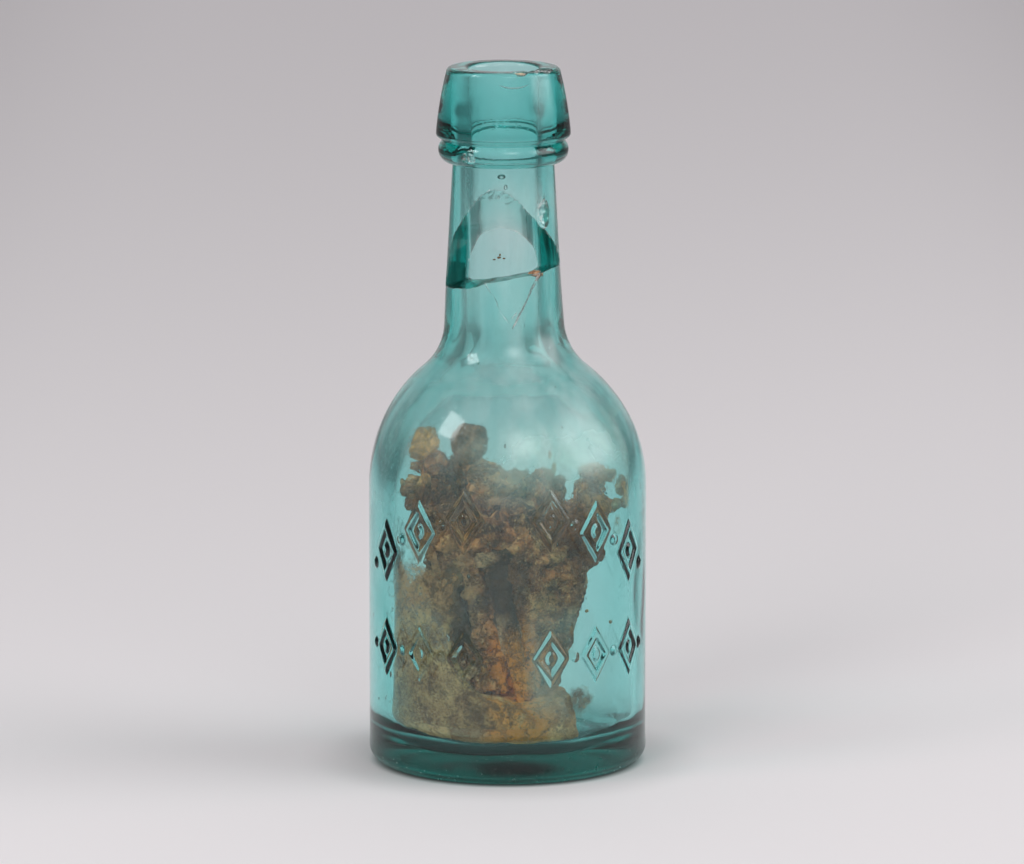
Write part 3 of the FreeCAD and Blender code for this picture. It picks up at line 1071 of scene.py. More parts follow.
@dataclass
class NeckBreak:
    """What was knocked out of the glass: the flake at the front of the neck, chips and cracks.

    The flake's broken surface is a sheet. Its first part, floor_share, is the level bottom, and the rest
    climbs forwards over it. clean and crushed are the values of the attribute broken on its surfaces.
    """

    section: GlassSection
    bottom: float = 121.3
    rise: float = 19.5
    half_width: float = 21.0
    front: float = 22.0
    floor_share: float = 0.42
    climb_reach: float = 1.6
    overhang: float = 1.04
    hollow: float = 0.3
    tilt: float = 0.17
    twist: float = 0.16
    bevel: float = 0.16
    ripple: float = 0.1
    ring_waves: float = 4.4
    roughness: float = 0.35
    lump_size: float = 6.5
    mid_wall: float = 9.5
    clean: float = 1.0
    crushed: float = 0.5
    crack_seed: int = 5

    chips: tuple[Chip, ...] = (
        Chip(20.0, 12.3, 172.6, (2.2, 1.9, 1.7)),
        Chip(50.0, 11.4, 176.4, (6.4, 5.4, 5.6)),
        Chip(-33.0, 17.4, 151.0, (2.6, 2.6, 2.2)),
        Chip(48.0, 14.5, 137.4, (3.0, 2.6, 4.8)),
    )
    cracks: tuple[Crack, ...] = (
        Crack(((43.0, 123.6), (33.0, 119.8), (24.0, 116.2), (8.0, 109.4)), 1.1, 0.3),
        Crack(((-20.0, 121.0), (-9.0, 117.4), (-2.0, 113.4), (4.0, 111.2), (13.0, 113.8)), 1.3, -0.5),
    )

    def _flake_point(self, across: float, share: float) -> Vector:
        """Maps a place on the flake's flat sheet to the broken surface.

        Args:
            across: From -1 to 1 across the neck.
            share: From 0 at the front of the broken bottom to 1 over the top.

        Returns:
            The point in millimetres.
        """
        x = self.half_width * across
        face = self.section.neck_radius(self.bottom + self.rise) - 0.2
        if share < self.floor_share:
            y = -self.front * (1.0 - share / self.floor_share)
            z = self.bottom
            normal = Vector((0.0, 0.0, 1.0))
        else:
            climb = (share - self.floor_share) / (1.0 - self.floor_share) * self.climb_reach
            y = -self.overhang * face * (climb - self.hollow * smooth_step(0.7, 1.5, climb))
            z = self.bottom + self.rise * climb
            normal = Vector((0.0, -0.83, 0.55))
        up = max(0.0, z - self.bottom)
        y -= self.twist * x * min(up / 9.0, 1.2)
        from_hit = math.hypot(x - 1.0, (z - self.bottom - self.rise) * 0.9, y + face)
        rings = self.ripple * math.sin(from_hit * self.ring_waves) * smooth_step(16.0, 4.0, from_hit)
        lump_place = Vector((x / self.lump_size, y / self.lump_size + 3.0, z / self.lump_size))
        rough = noise.fractal(lump_place, 1.0, 2.0, 3)
        place = Vector((x, y, z)) + normal * (rings + self.roughness * rough)
        outward = math.hypot(place.x, place.y) - self.mid_wall
        bevelled = smooth_step(-3.5, -8.5, place.x) * (1.0 - smooth_step(0.5, 6.0, up))
        place.z += self.tilt * place.x - self.bevel * outward * bevelled
        return place

    def flake(self) -> bmesh.types.BMesh:
        """Makes the flake's solid: its broken surface, swept forward and up.

        Returns:
            The closed cutter, in metres.
        """
        bm = bmesh.new()
        bmesh.ops.create_grid(bm, x_segments=72, y_segments=110, size=1.0)
        for vert in bm.verts:
            vert.co = self._flake_point(vert.co.x, (vert.co.y + 1.0) / 2.0) * MM
        swept = bmesh.ops.extrude_face_region(bm, geom=list(bm.faces), use_keep_orig=True)
        moved = [item for item in swept["geom"] if isinstance(item, bmesh.types.BMVert)]
        bmesh.ops.translate(bm, verts=moved, vec=(0.0, -0.045, 0.016))
        return bm

    def chip(self, chip: Chip, seed: int) -> bmesh.types.BMesh:
        """Makes a chip's solid: a lumpy ball.

        Args:
            chip: Where it is and how far it reaches.
            seed: Makes its lumps differ.

        Returns:
            The closed cutter, in metres.
        """
        bm = bmesh.new()
        bmesh.ops.create_icosphere(bm, subdivisions=5, radius=1.0)
        for vert in bm.verts:
            lump = noise.fractal(vert.co * 2.6 + Vector((seed * 7.0, 0.0, 0.0)), 1.0, 2.0, 3)
            vert.co *= 1.0 + 0.1 * lump
        turn = math.radians(chip.azimuth)
        place = round_at(turn, chip.radius, chip.height) * MM
        shape = Matrix.LocRotScale(place, Matrix.Rotation(turn, 3, "Z"), Vector(chip.reach) * MM)
        bmesh.ops.transform(bm, matrix=shape, verts=bm.verts)
        return bm

    def crack(self, crack: Crack) -> bmesh.types.BMesh:
        """Makes a crack's solid: a thin ribbon from outside the glass into it.

        Args:
            crack: The crack.

        Returns:
            The closed cutter, in metres.
        """
        outside = 0.4
        bm = bmesh.new()
        tip = None
        for azimuth, height in crack.path:
            place = round_at(math.radians(azimuth), self.section.neck_radius(height) + outside, height) * MM
            if tip is None:
                tip = bm.verts.new(place)
            else:
                tip = bmesh.ops.extrude_vert_indiv(bm, verts=[tip])["verts"][0]
                tip.co = place
        bmesh.ops.subdivide_edges(bm, edges=bm.edges, cuts=7)
        inward = bmesh.ops.extrude_edge_only(bm, edges=bm.edges)
        for vert in (item for item in inward["geom"] if isinstance(item, bmesh.types.BMVert)):
            flat = Vector((vert.co.x, vert.co.y, 0.0)).normalized()
            depth = crack.depth + 2.0 * outside + 0.5 * noise.noise(vert.co / MM / 2.5)
            vert.co -= flat * depth * MM
            vert.co.z += crack.slant * MM
        set_in_order(bm)
        bmesh.ops.subdivide_edges(bm, edges=bm.edges, cuts=2, use_grid_fill=True)
        # Without a seed of its own, noise_vector takes the time as its seed.
        noise.seed_set(self.crack_seed)
        for vert in bm.verts:
            vert.co += noise.noise_vector(vert.co / MM / 3.0) * 0.22 * MM
        bmesh.ops.recalc_face_normals(bm, faces=bm.faces)
        bmesh.ops.solidify(bm, geom=list(bm.faces), thickness=crack.gap * MM)
        return bm

    def cutters(self) -> list[bpy.types.Object]:
        """Makes every cutter, leant over with the neck.

        Returns:
            The cutters as objects, to be removed after use.
        """
        solids = [(self.flake(), self.clean)]
        solids += [(self.chip(chip, seed), self.crushed) for seed, chip in enumerate(self.chips)]
        solids += [(self.crack(crack), self.crushed) for crack in self.cracks]
        pieces = []
        for number, (bm, state) in enumerate(solids):
            bmesh.ops.recalc_face_normals(bm, faces=bm.faces)
            broken = bm.verts.layers.float.new("broken")
            for vert in bm.verts:
                vert.co.x += self.section.lean(vert.co.z / MM) * MM
                vert[broken] = state
            pieces.append(new_piece(f"cutter_{number}", bm))
        return pieces


@dataclass(frozen=True)
class Bubble:
    """A small closed hollow within the glass.

    azimuth is in radians, stretch is its height over its width, and share is how far out in the wall it lies.
    """

    azimuth: float
    height: float
    size: float
    stretch: float
    share: float


@dataclass
class GlassBottle:
    """The bottle's glass: one shell with waves, raised bands, a broken neck, small bubbles and a bruise."""

    section: GlassSection
    bands: MouldedBands
    neck_break: NeckBreak
    turn_steps: int = 168
    crease: float = 38.0
    seed: int = 11
    bubble_count: int = 46
    bubble_heights: Point = (16.0, 112.0)
    bubble_sizes: Point = (0.12, 0.36)
    neck_from: float = 96.0
    neck_bubbles: tuple[Bubble, ...] = (
        Bubble(-0.04, 146.4, 0.95, 0.7, 0.5),
        Bubble(0.05, 143.9, 0.42, 1.5, 0.5),
        Bubble(-0.1, 141.6, 0.3, 1.8, 0.55),
    )
    bruise_azimuth: float = 11.0
    bruise_radius: float = 13.3
    bruise_height: float = 168.3
    bruise_sizes: tuple[float, float, float] = (3.6, 1.0, 0.14)
    bruise_bow: float = 0.9

    def _shell(self) -> bmesh.types.BMesh:
        """Turns the section round the axis.

        Returns:
            The closed shell.
        """
        bm = bmesh.new()
        self.section.draw(bm)
        bmesh.ops.spin(
            bm, geom=list(bm.verts) + list(bm.edges), cent=(0.0, 0.0, 0.0), axis=(0.0, 0.0, 1.0),
            dvec=(0.0, 0.0, 0.0), angle=2.0 * math.pi, steps=self.turn_steps, use_merge=True,
        )
        bmesh.ops.remove_doubles(bm, verts=bm.verts, dist=1e-6)
        bmesh.ops.recalc_face_normals(bm, faces=bm.faces)
        set_in_order(bm)
        return bm

    def _is_in_front(self, place: Vector, low: float, high: float) -> bool:
        """Says whether a place is on the outside of the front half, between two heights."""
        if place.y > 0.0 or not low < place.z < high:
            return False
        return not self.section.is_inside(math.hypot(place.x, place.y), place.z)

    def _from_motif(self, place: Vector, motif: RaisedMotif) -> Point:
        """How far along the wall and up a place is from a motif's centre."""
        azimuth = math.atan2(place.x, -place.y)
        return (azimuth - math.radians(motif.azimuth)) * self.section.body_radius, place.z - motif.height

    def _raise_bands(self, bm: bmesh.types.BMesh) -> None:
        """Divides the glass under each motif and raises it.

        Args:
            bm: The shell, still round.
        """
        motifs = self.bands.motifs()
        edges = set()
        for face in bm.faces:
            place = face.calc_center_median() / MM
            if not self._is_in_front(place, 15.0, 85.0):
                continue
            if any(motif.is_near(*self._from_motif(place, motif)) for motif in motifs):
                edges.update(face.edges)
        bm.edges.index_update()
        in_order = sorted(edges, key=lambda edge: edge.index)
        bmesh.ops.subdivide_edges(bm, edges=in_order, cuts=4, use_grid_fill=True)
        for vert in bm.verts:
            place = vert.co / MM
            if not self._is_in_front(place, 10.0, 88.0):
                continue
            lift = 0.0
            for motif in motifs:
                across, up = self._from_motif(place, motif)
                if motif.is_near(across, up):
                    lift = max(lift, motif.lift(across, up))
            stretch = (self.section.outer_body_radius(place.z) + lift) / math.hypot(place.x, place.y)
            vert.co.x *= stretch
            vert.co.y *= stretch

    def _work(self, bm: bmesh.types.BMesh) -> None:
        """Gives the walls the unevenness of blown glass, and leans the neck.

        Args:
            bm: The shell.
        """
        section = self.section
        bm.normal_update()
        moves = []
        for vert in bm.verts:
            place = vert.co / MM
            if section.is_inside(math.hypot(place.x, place.y), place.z):
                moves.append(vert.normal * -section.waves(place))
            elif 6.0 < place.z < section.lip_bottom:
                dent = noise.noise(Vector((place.x / 12.0, place.y / 12.0, place.z / 40.0 + 5.0)))
                moves.append(vert.normal * (-0.07 + 0.07 * dent))
            else:
                moves.append(Vector())
        for vert, move in zip(bm.verts, moves):
            vert.co += move * MM
            vert.co.x += section.lean(vert.co.z / MM) * MM

    @staticmethod
    def _hollow(bm: bmesh.types.BMesh, shape: Matrix, subdivisions: int) -> list[bmesh.types.BMVert]:
        """Adds a closed hollow, with its faces turned into it.

        Args:
            bm: The broken shell.
            shape: Makes the hollow of a ball of radius 1.
            subdivisions: How finely it is divided.

        Returns:
            The hollow's points.
        """
        made = bmesh.ops.create_icosphere(bm, subdivisions=subdivisions, radius=1.0, matrix=shape)["verts"]
        faces = {face for vert in made for face in vert.link_faces}
        bmesh.ops.reverse_faces(bm, faces=list(faces))
        return made

    def _add_bruise(self, bm: bmesh.types.BMesh) -> None:
        """Adds the thin bowed hollow of a bruise near the rim.

        Args:
            bm: The broken shell.
        """
        turn = math.radians(self.bruise_azimuth)
        middle = round_at(turn, self.bruise_radius, self.bruise_height)
        middle.x += self.section.lean(self.bruise_height)
        sizes = Vector(self.bruise_sizes) * MM
        shape = Matrix.LocRotScale(middle * MM, Matrix.Rotation(turn, 3, "Z"), sizes)
        for vert in self._hollow(bm, shape, 4):
            across = (vert.co.x / MM - middle.x) / self.bruise_sizes[0]
            vert.co.z += self.bruise_bow * across * across * MM

    def _add_bubbles(self, bm: bmesh.types.BMesh) -> None:
        """Adds small bubbles within the wall, at drawn places and at those given for the neck.

        Args:
            bm: The broken shell.
        """
        section = self.section
        draw = random.Random(self.seed)
        bubbles = []
        for _ in range(self.bubble_count):
            height = draw.uniform(*self.bubble_heights)
            azimuth = draw.uniform(-math.pi, math.pi)
            size = draw.uniform(*self.bubble_sizes)
            stretch = draw.uniform(1.0, 2.2)
            bubbles.append(Bubble(azimuth, height, size, stretch, draw.uniform(0.3, 0.6)))
        bubbles.extend(self.neck_bubbles)
        for bubble in bubbles:
            if bubble.height > self.neck_from:
                inner = section.bore + 0.4
                outer = section.neck_radius(bubble.height)
            else:
                inner = section.inner_body_radius(bubble.height) + 0.9
                outer = section.outer_body_radius(bubble.height)
            place = round_at(bubble.azimuth, inner + (outer - inner) * bubble.share, bubble.height)
            place.x += section.lean(bubble.height)
            sizes = Vector((bubble.size, bubble.size, bubble.size * bubble.stretch)) * MM
            self._hollow(bm, Matrix.LocRotScale(place * MM, None, sizes), 3 if bubble.size > 0.3 else 2)

    def build(self) -> bpy.types.Object:
        """Builds the glass.

        Returns:
            The glass piece.
        """
        bm = self._shell()
        self._raise_bands(bm)
        self._work(bm)
        bm.verts.layers.float.new("broken")
        glass = new_piece("bottle_glass", bm)
        cutters = self.neck_break.cutters()
        for cutter in cutters:
            boolean = glass.modifiers.new(cutter.name, "BOOLEAN")
            boolean.operation = "DIFFERENCE"
            boolean.solver = "MANIFOLD"
            boolean.object = cutter
        settle(glass)
        for cutter in cutters:
            mesh = cutter.data
            bpy.data.objects.remove(cutter)
            bpy.data.meshes.remove(mesh)
        bm = bmesh.new()
        bm.from_mesh(glass.data)
        self._add_bruise(bm)
        self._add_bubbles(bm)
        bm.to_mesh(glass.data)
        bm.free()
        shade_smooth(glass, self.crease)
        return glass

    def dress(self, glass: bpy.types.Object, finish: GlassFinish) -> None:
        """Gives the glass its finish and hands it over."""
        glass.data.materials.clear()
        glass.data.materials.append(finish.make())
        hand_over(glass, Slot.GLASS, "bottle_body", "applied_lip")


@dataclass(frozen=True)
class Corrosion:
    """How rust or silt roughens a solid."""

    voxel: float
    lump_size: float
    lump_height: float
    grain_size: float
    grain_height: float
    swell: float = 0.0
    smoothing: int = 1


@dataclass
class CorrodedSolid:
    """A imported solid, grown lumpy, that stays clear of the glass."""

    node: str
    name: str
    corrosion: Corrosion
    section: GlassSection
    gap: float = 0.16
    clods: tuple[tuple[Vector, float], ...] = ()

    def build(self) -> bpy.types.Object:
        """Builds the piece from a merged copy of the node's mesh, with any clods that have grown on to it.

        Returns:
            The piece.
        """
        bm = bmesh.new()
        bm.from_mesh(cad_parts[self.node].data)
        bmesh.ops.remove_doubles(bm, verts=bm.verts, dist=1e-6)
        for place, size in self.clods:
            shape = Matrix.Translation(place * MM) @ Matrix.Scale(size * MM, 4)
            bmesh.ops.create_icosphere(bm, subdivisions=3, radius=1.0, matrix=shape)
        piece = new_piece(self.name, bm)
        remesh = piece.modifiers.new("even", "REMESH")
        remesh.mode = "VOXEL"
        remesh.voxel_size = self.corrosion.voxel * MM
        settle(piece)
        bm = bmesh.new()
        bm.from_mesh(piece.data)
        self._roughen(bm)
        bm.to_mesh(piece.data)
        bm.free()
        piece.data.shade_smooth()
        return piece

    def _roughen(self, bm: bmesh.types.BMesh) -> None:
        """Moves every point by lumps and grain.

        Args:
            bm: The evenly meshed solid.
        """
        rust = self.corrosion
        for _ in range(rust.smoothing):
            bmesh.ops.smooth_vert(
                bm, verts=bm.verts, factor=0.5, use_axis_x=True, use_axis_y=True, use_axis_z=True
            )
        bm.normal_update()
        moved = []
        for vert in bm.verts:
            place = vert.co / MM
            lumps = noise.fractal(place / rust.lump_size, 0.9, 2.1, 3)
            grain = noise.turbulence(place / rust.grain_size, 2, False)
            out = rust.swell + rust.lump_height * lumps + rust.grain_height * (grain - 0.4)
            moved.append(self.section.keep_inside(place + vert.normal * out, self.gap))
        for vert, place in zip(bm.verts, moved):
            vert.co = place * MM

    def dress(self, piece: bpy.types.Object, material: bpy.types.Material, slot: Slot) -> None:
        """Gives the piece its finish and hands it over."""
        piece.data.materials.clear()
        piece.data.materials.append(material)
        hand_over(piece, slot, self.node)


@dataclass(frozen=True)
class ClodPlace:
    """A clod of rust on a nail: its share of the way from the nail's point to its head, and its size."""

    nail: str
    share: float
    size: float
    end_depth: float = 3.0

    def _middle_near(self, height: float) -> Vector:
        """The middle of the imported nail's points near a height, both in metres."""
        near = [
            vert.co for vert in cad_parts[self.nail].data.vertices
            if abs(vert.co.z - height) < self.end_depth * MM
        ]
        return sum(near, Vector()) / len(near)

    def place(self) -> Vector:
        """Finds the clod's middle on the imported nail.

        Returns:
            The place in millimetres.
        """
        low, high = (corner.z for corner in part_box(self.nail))
        head = self._middle_near(high)
        point = self._middle_near(low)
        height = low + (high - low) * self.share
        return head.lerp(point, (height - head.z) / (point.z - head.z)) / MM


@dataclass(frozen=True)
class Crumb:
    """A crumb that clings to the glass: its place round, out and up, and its half sizes round, out and up."""

    azimuth: float
    radius: float
    height: float
    sizes: tuple[float, float, float]
    in_cavity: bool = True


@dataclass
class ClingingCrumbs:
    """Crumbs of rust or dirt that cling to the glass away from the mass."""

    name: str
    crumbs: tuple[Crumb, ...]
    section: GlassSection
    roughness: float = 0.38
    gap: float = 0.05

    def build(self) -> bpy.types.Object:
        """Builds the crumbs as lumpy balls pressed against the glass.

        Returns:
            The piece.
        """
        bm = bmesh.new()
        for crumb in self.crumbs:
            turn = Matrix.Rotation(math.radians(crumb.azimuth), 4, "Z")
            middle = turn @ Vector((0.0, -crumb.radius, crumb.height))
            middle.x += self.section.lean(crumb.height)
            sizes = Matrix.Diagonal((*(size * MM for size in crumb.sizes), 1.0))
            shape = Matrix.Translation(middle * MM) @ turn @ sizes
            made = bmesh.ops.create_icosphere(bm, subdivisions=3, radius=1.0, matrix=shape)
            for vert in made["verts"]:
                place = vert.co / MM
                lump = noise.fractal(place * 1.1, 1.0, 2.0, 3)
                place = middle + (place - middle) * (1.0 + self.roughness * lump)
                if crumb.in_cavity:
                    place = self.section.keep_inside(place, self.gap)
                vert.co = place * MM
        bmesh.ops.recalc_face_normals(bm, faces=bm.faces)
        piece = new_piece(self.name, bm)
        piece.data.shade_smooth()
        return piece

    def dress(self, piece: bpy.types.Object, material: bpy.types.Material, slot: Slot) -> None:
        """Gives the crumbs their finish and hands them over."""
        piece.data.materials.append(material)
        hand_over(piece, slot)


@dataclass(frozen=True)
class FilmPatch:
    """A patch of film apart from the rest: its middle round and up, its half sizes, and its strength."""

    azimuth: float
    height: float
    half_angle: float
    half_height: float
    strength: float


@dataclass
class SiltFilm:
    """Dried silt in a thin sheet on the inside of the wall, thick at the left and bare towards the right.

    Azimuths are in degrees from the front towards the right. tide is how high the silt stands at the left.
    """

    section: GlassSection
    first_azimuth: float = -165.0
    last_azimuth: float = 125.0
    low: float = 13.7
    high: float = 90.0
    clearance: float = 0.07
    spacing: float = 1.0
    turn_steps: int = 190
    tide: float = 58.0
    right_end: float = -13.0
    foot_reach: float = 38.0
    patches: tuple[FilmPatch, ...] = (
        FilmPatch(30.0, 36.5, 1.9, 5.5, 0.62),
        FilmPatch(25.0, 32.4, 8.5, 1.7, 0.62),
        FilmPatch(33.0, 19.0, 13.0, 7.5, 0.56),
        FilmPatch(66.0, 69.5, 9.0, 6.0, 0.75),
        FilmPatch(58.0, 61.0, 6.0, 5.0, 0.5),
        FilmPatch(-72.0, 74.0, 10.0, 6.0, 0.5),
    )

    def _cover(self, azimuth: float, height: float) -> float:
        """How much of the wall the film covers at a place.

        Args:
            azimuth: The angle round.
            height: The height.

        Returns:
            From 0, bare, to about 1, covered.
        """
        top = self.tide - 0.012 * max(0.0, azimuth + 45.0) ** 1.5
        from_top = smooth_step(top + 12.0, top - 18.0, height)
        right_end = self.right_end + self.foot_reach * smooth_step(27.0, 15.0, height)
        from_right = smooth_step(right_end, right_end - 20.0, azimuth)
        from_left = smooth_step(-125.0, -95.0, azimuth)
        cover = min(from_top, from_right, from_left)
        for patch in self.patches:
            aside = (azimuth - patch.azimuth) / patch.half_angle
            apart = math.hypot(aside, (height - patch.height) / patch.half_height)
            cover = max(cover, patch.strength * smooth_step(1.0, 0.3, apart))
        return cover

    def _bloom_and_reflection_haze(self, azimuth: float, height: float) -> float:
        """How strong the pale haze is at a place: mineral bloom, which high on the front and right is also a
        painted reflection of the softboxes.

        Args:
            azimuth: The angle round.
            height: The height.

        Returns:
            From 0, clear, to 1.
        """
        upwards = min(smooth_step(66.0, 80.0, height), smooth_step(self.high, self.high - 10.0, height))
        around = smooth_step(-45.0, 25.0, azimuth) * smooth_step(self.last_azimuth, 70.0, azimuth)
        upper = upwards * (0.15 + 0.85 * around) * smooth_step(self.first_azimuth, -120.0, azimuth)
        beside = smooth_step(6.0, 14.0, azimuth) * smooth_step(35.0, 31.0, azimuth)
        return max(upper, 0.4 * beside * smooth_step(14.0, 19.0, height) * smooth_step(45.0, 39.0, height))

    def build(self) -> bpy.types.Object:
        """Builds the film as a sheet that follows the wall's waves.

        Returns:
            The film piece.
        """
        section = self.section
        bm = bmesh.new()
        pen = SectionPen(bm, (section.inner_radius, self.low))
        pen.line((section.inner_radius, section.shoulder_start), self.spacing)
        middle = (section.shoulder_start + self.high) / 2
        upper_end = (section.inner_body_radius(self.high), self.high)
        pen.arc((section.inner_body_radius(middle), middle), upper_end, self.spacing)
        spread = math.radians(self.last_azimuth - self.first_azimuth)
        start = Matrix.Rotation(math.radians(self.first_azimuth - 90.0), 3, "Z")
        bmesh.ops.rotate(bm, verts=bm.verts, cent=(0.0, 0.0, 0.0), matrix=start)
        bmesh.ops.spin(
            bm, geom=list(bm.verts) + list(bm.edges), cent=(0.0, 0.0, 0.0), axis=(0.0, 0.0, 1.0),
            dvec=(0.0, 0.0, 0.0), angle=spread, steps=self.turn_steps, use_merge=False,
        )
        cover = bm.verts.layers.float.new("cover")
        haze = bm.verts.layers.float.new("haze")
        for vert in bm.verts:
            place = vert.co / MM
            azimuth = math.degrees(math.atan2(place.x, -place.y))
            vert[cover] = self._cover(azimuth, place.z)
            # Haze: mineral bloom that is also a painted reflection of the softboxes.
            vert[haze] = self._bloom_and_reflection_haze(azimuth, place.z)
            outward = Vector((place.x, place.y, 0.0)).normalized()
            vert.co += outward * (section.waves(place) - self.clearance) * MM
        piece = new_piece("silt_film", bm)
        piece.data.shade_smooth()
        return piece

    def dress(self, piece: bpy.types.Object, material: bpy.types.Material) -> None:
        """Gives the film its finish and hands it over."""
        piece.data.materials.append(material)
        hand_over(piece, Slot.SILT)


@dataclass(frozen=True)
class Softbox:
    """A rectangular soft lamp that faces the bottle, in metres and watts.

    soft_edge is the share of its width and height over which it fades. mirrored is False for one that glossy
    surfaces don't show.
    """

    name: str
    place: tuple[float, float, float]
    width: float
    height: float
    power: float
    soft_edge: float
    mirrored: bool = True


@dataclass
class Studio:
    """Floor, soft light and the camera, in metres."""

    softboxes: tuple[Softbox, ...] = (
        Softbox("softbox_left", (-1.1, -0.52, 1.12), 0.5, 0.5, 5.0, 0.06),
        Softbox("softbox_right", (1.4, -0.2, 0.78), 1.9, 1.5, 32.5, 0.35),
        Softbox("softbox_top", (0.0, -0.05, 1.7), 1.9, 1.6, 5.0, 0.48),
        Softbox("softbox_front", (0.45, -1.5, 1.2), 1.3, 1.0, 15.0, 0.48),
        Softbox("softbox_fill", (-0.85, -1.55, 0.62), 0.9, 0.7, 19.0, 0.1, mirrored=False),
    )
    aim: tuple[float, float, float] = (0.0, 0.0, 0.09)
    camera_place: tuple[float, float, float] = (0.0, -1.91717, 0.42484)
    camera_aim: tuple[float, float, float] = (0.0011, 0.0, 0.0816)
    focal_pixels: float = 7939.38
    sensor: float = 36.0
    floor_drop: float = 0.0002
    floor_reach: float = 4.0
    # The far colour is a little darker: a painted falloff of light.
    floor_near: Colour = (0.825, 0.794, 0.808, 1.0)
    floor_far: Colour = (0.8, 0.765, 0.784, 1.0)
    # Painted shade at the sides, and painted shadows round and under the bottle.
    floor_aside_shade: Colour = (0.22, 0.213, 0.217, 1.0)
    floor_contact_shadow: Colour = (0.1, 0.1, 0.1, 1.0)
    floor_beneath_shadow: Colour = (0.03, 0.03, 0.03, 1.0)
    far_glow: float = 0.145
    horizon_glow: float = 0.24
    room_front: Colour = (0.44, 0.43, 0.44, 1.0)
    room_back: Colour = (0.56, 0.545, 0.555, 1.0)
    room_top: Colour = (0.4, 0.392, 0.4, 1.0)
    room_sides: Colour = (0.1, 0.1, 0.102, 1.0)
    aside_share: float = 0.85
    glass_bounces: int = 28
    clear_bounces: int = 16

    def _floor(self) -> None:
        """Lays a pale floor, with painted shade at the sides and a painted shadow under and round the bottle,
        and a little darker far off as a painted falloff of light.
        """
        bm = bmesh.new()
        bmesh.ops.create_circle(bm, cap_ends=True, segments=96, radius=self.floor_reach)
        bmesh.ops.translate(bm, verts=bm.verts, vec=(0.0, 0.0, -self.floor_drop))
        floor = new_piece("floor", bm)
        material, bench, output = new_material("PaleFloor")
        place = bench.add("ShaderNodeTexCoord").outputs["Object"]
        away = bench.length(place)
        far_inputs = {"Value": away, "From Min": 0.08, "From Max": 1.7}
        far = bench.add("ShaderNodeMapRange", far_inputs).outputs["Result"]
        aside = bench.band(bench.sum("ABSOLUTE", bench.parts(place)["X"]), 0.13, 0.5)
        colour = bench.blend(far, self.floor_near, self.floor_far)
        # Painted shade at the sides, a painted shadow under the bottle and a painted contact shadow round it.
        for share, shaded in (
            (bench.times(aside, self.aside_share), self.floor_aside_shade),
            (bench.times(bench.band(away, 0.0345, 0.03), 0.95), self.floor_beneath_shadow),
            (bench.band(away, 0.052, 0.034, 0.0, 0.18), self.floor_contact_shadow),
        ):
            colour = bench.blend(share, colour, shaded)
        inputs = {"Base Color": colour, "Roughness": 0.9, "Specular IOR Level": 0.1}
        shader = bench.add("ShaderNodeBsdfPrincipled", inputs)
        path = bench.add("ShaderNodeLightPath").outputs
        seen = bench.sum("MAXIMUM", path["Is Camera Ray"], path["Is Glossy Ray"])
        seen = bench.sum("MAXIMUM", seen, path["Is Transmission Ray"])
        horizon = bench.band(away, 1.6, 3.8, 0.0, self.horizon_glow)
        lift = bench.times(bench.plus(bench.times(far, self.far_glow), horizon), seen)
        glow = bench.add("ShaderNodeEmission", {"Color": colour, "Strength": lift})
        both = bench.add("ShaderNodeAddShader", {0: shader.outputs["BSDF"], 1: glow.outputs["Emission"]})
        bench.tree.links.new(both.outputs["Shader"], output.inputs["Surface"])
        floor.data.materials.append(material)

    def _world(self) -> None:
        """Makes a pale room, dimmer in front and above and dark at the sides."""
        world = bpy.data.worlds.new("Studio")
        bpy.context.scene.world = world
        world.use_nodes = True
        world.node_tree.nodes.clear()
        bench = NodeBench(world.node_tree)
        way = bench.parts(bench.add("ShaderNodeTexCoord").outputs["Generated"])
        colour = bench.blend(bench.band(way["Y"], -0.2, 0.9), self.room_front, self.room_back)
        colour = bench.blend(bench.band(way["Z"], 0.05, 0.9), colour, self.room_top)
        aside = bench.band(bench.sum("ABSOLUTE", way["X"]), 0.3, 0.8)
        colour = bench.blend(bench.times(aside, self.aside_share), colour, self.room_sides)
        background = bench.add("ShaderNodeBackground", {"Color": colour, "Strength": 1.0})
        output = bench.add("ShaderNodeOutputWorld")
        bench.tree.links.new(background.outputs["Background"], output.inputs["Surface"])
        world.cycles.sampling_method = "NONE"

    @staticmethod
    def _soften(lamp: bpy.types.Light, edge: float) -> None:
        """Fades a lamp's light towards its edges.

        Args:
            lamp: The area lamp.
            edge: The share of its width and height over which it fades in.
        """
        lamp.use_nodes = True
        lamp.node_tree.nodes.clear()
        bench = NodeBench(lamp.node_tree)
        place = bench.parts(bench.add("ShaderNodeNewGeometry").outputs["Parametric"])
        light = 1.0
        for axis in ("X", "Y"):
            from_middle = bench.sum("ABSOLUTE", bench.less(place[axis], 0.5))
            light = bench.times(light, bench.band(from_middle, 0.5, 0.5 - edge))
        glow = bench.add("ShaderNodeEmission", {"Strength": light})
        output = bench.add("ShaderNodeOutputLight")
        bench.tree.links.new(glow.outputs["Emission"], output.inputs["Surface"])

    @staticmethod
    def _hold(
        name: str, data: bpy.types.ID, place: tuple[float, float, float], aim: tuple[float, float, float]
    ) -> bpy.types.Object:
        """Puts a lamp or a camera at a place and turns it towards another.

        Args:
            name: The object's name.
            data: The lamp or the camera.
            place: Where it stands.
            aim: Where it looks.

        Returns:
            The object.
        """
        holder = bpy.data.objects.new(name, data)
        bpy.context.scene.collection.objects.link(holder)
        holder.location = place
        holder.rotation_euler = (Vector(aim) - Vector(place)).to_track_quat("-Z", "Y").to_euler()
        return holder

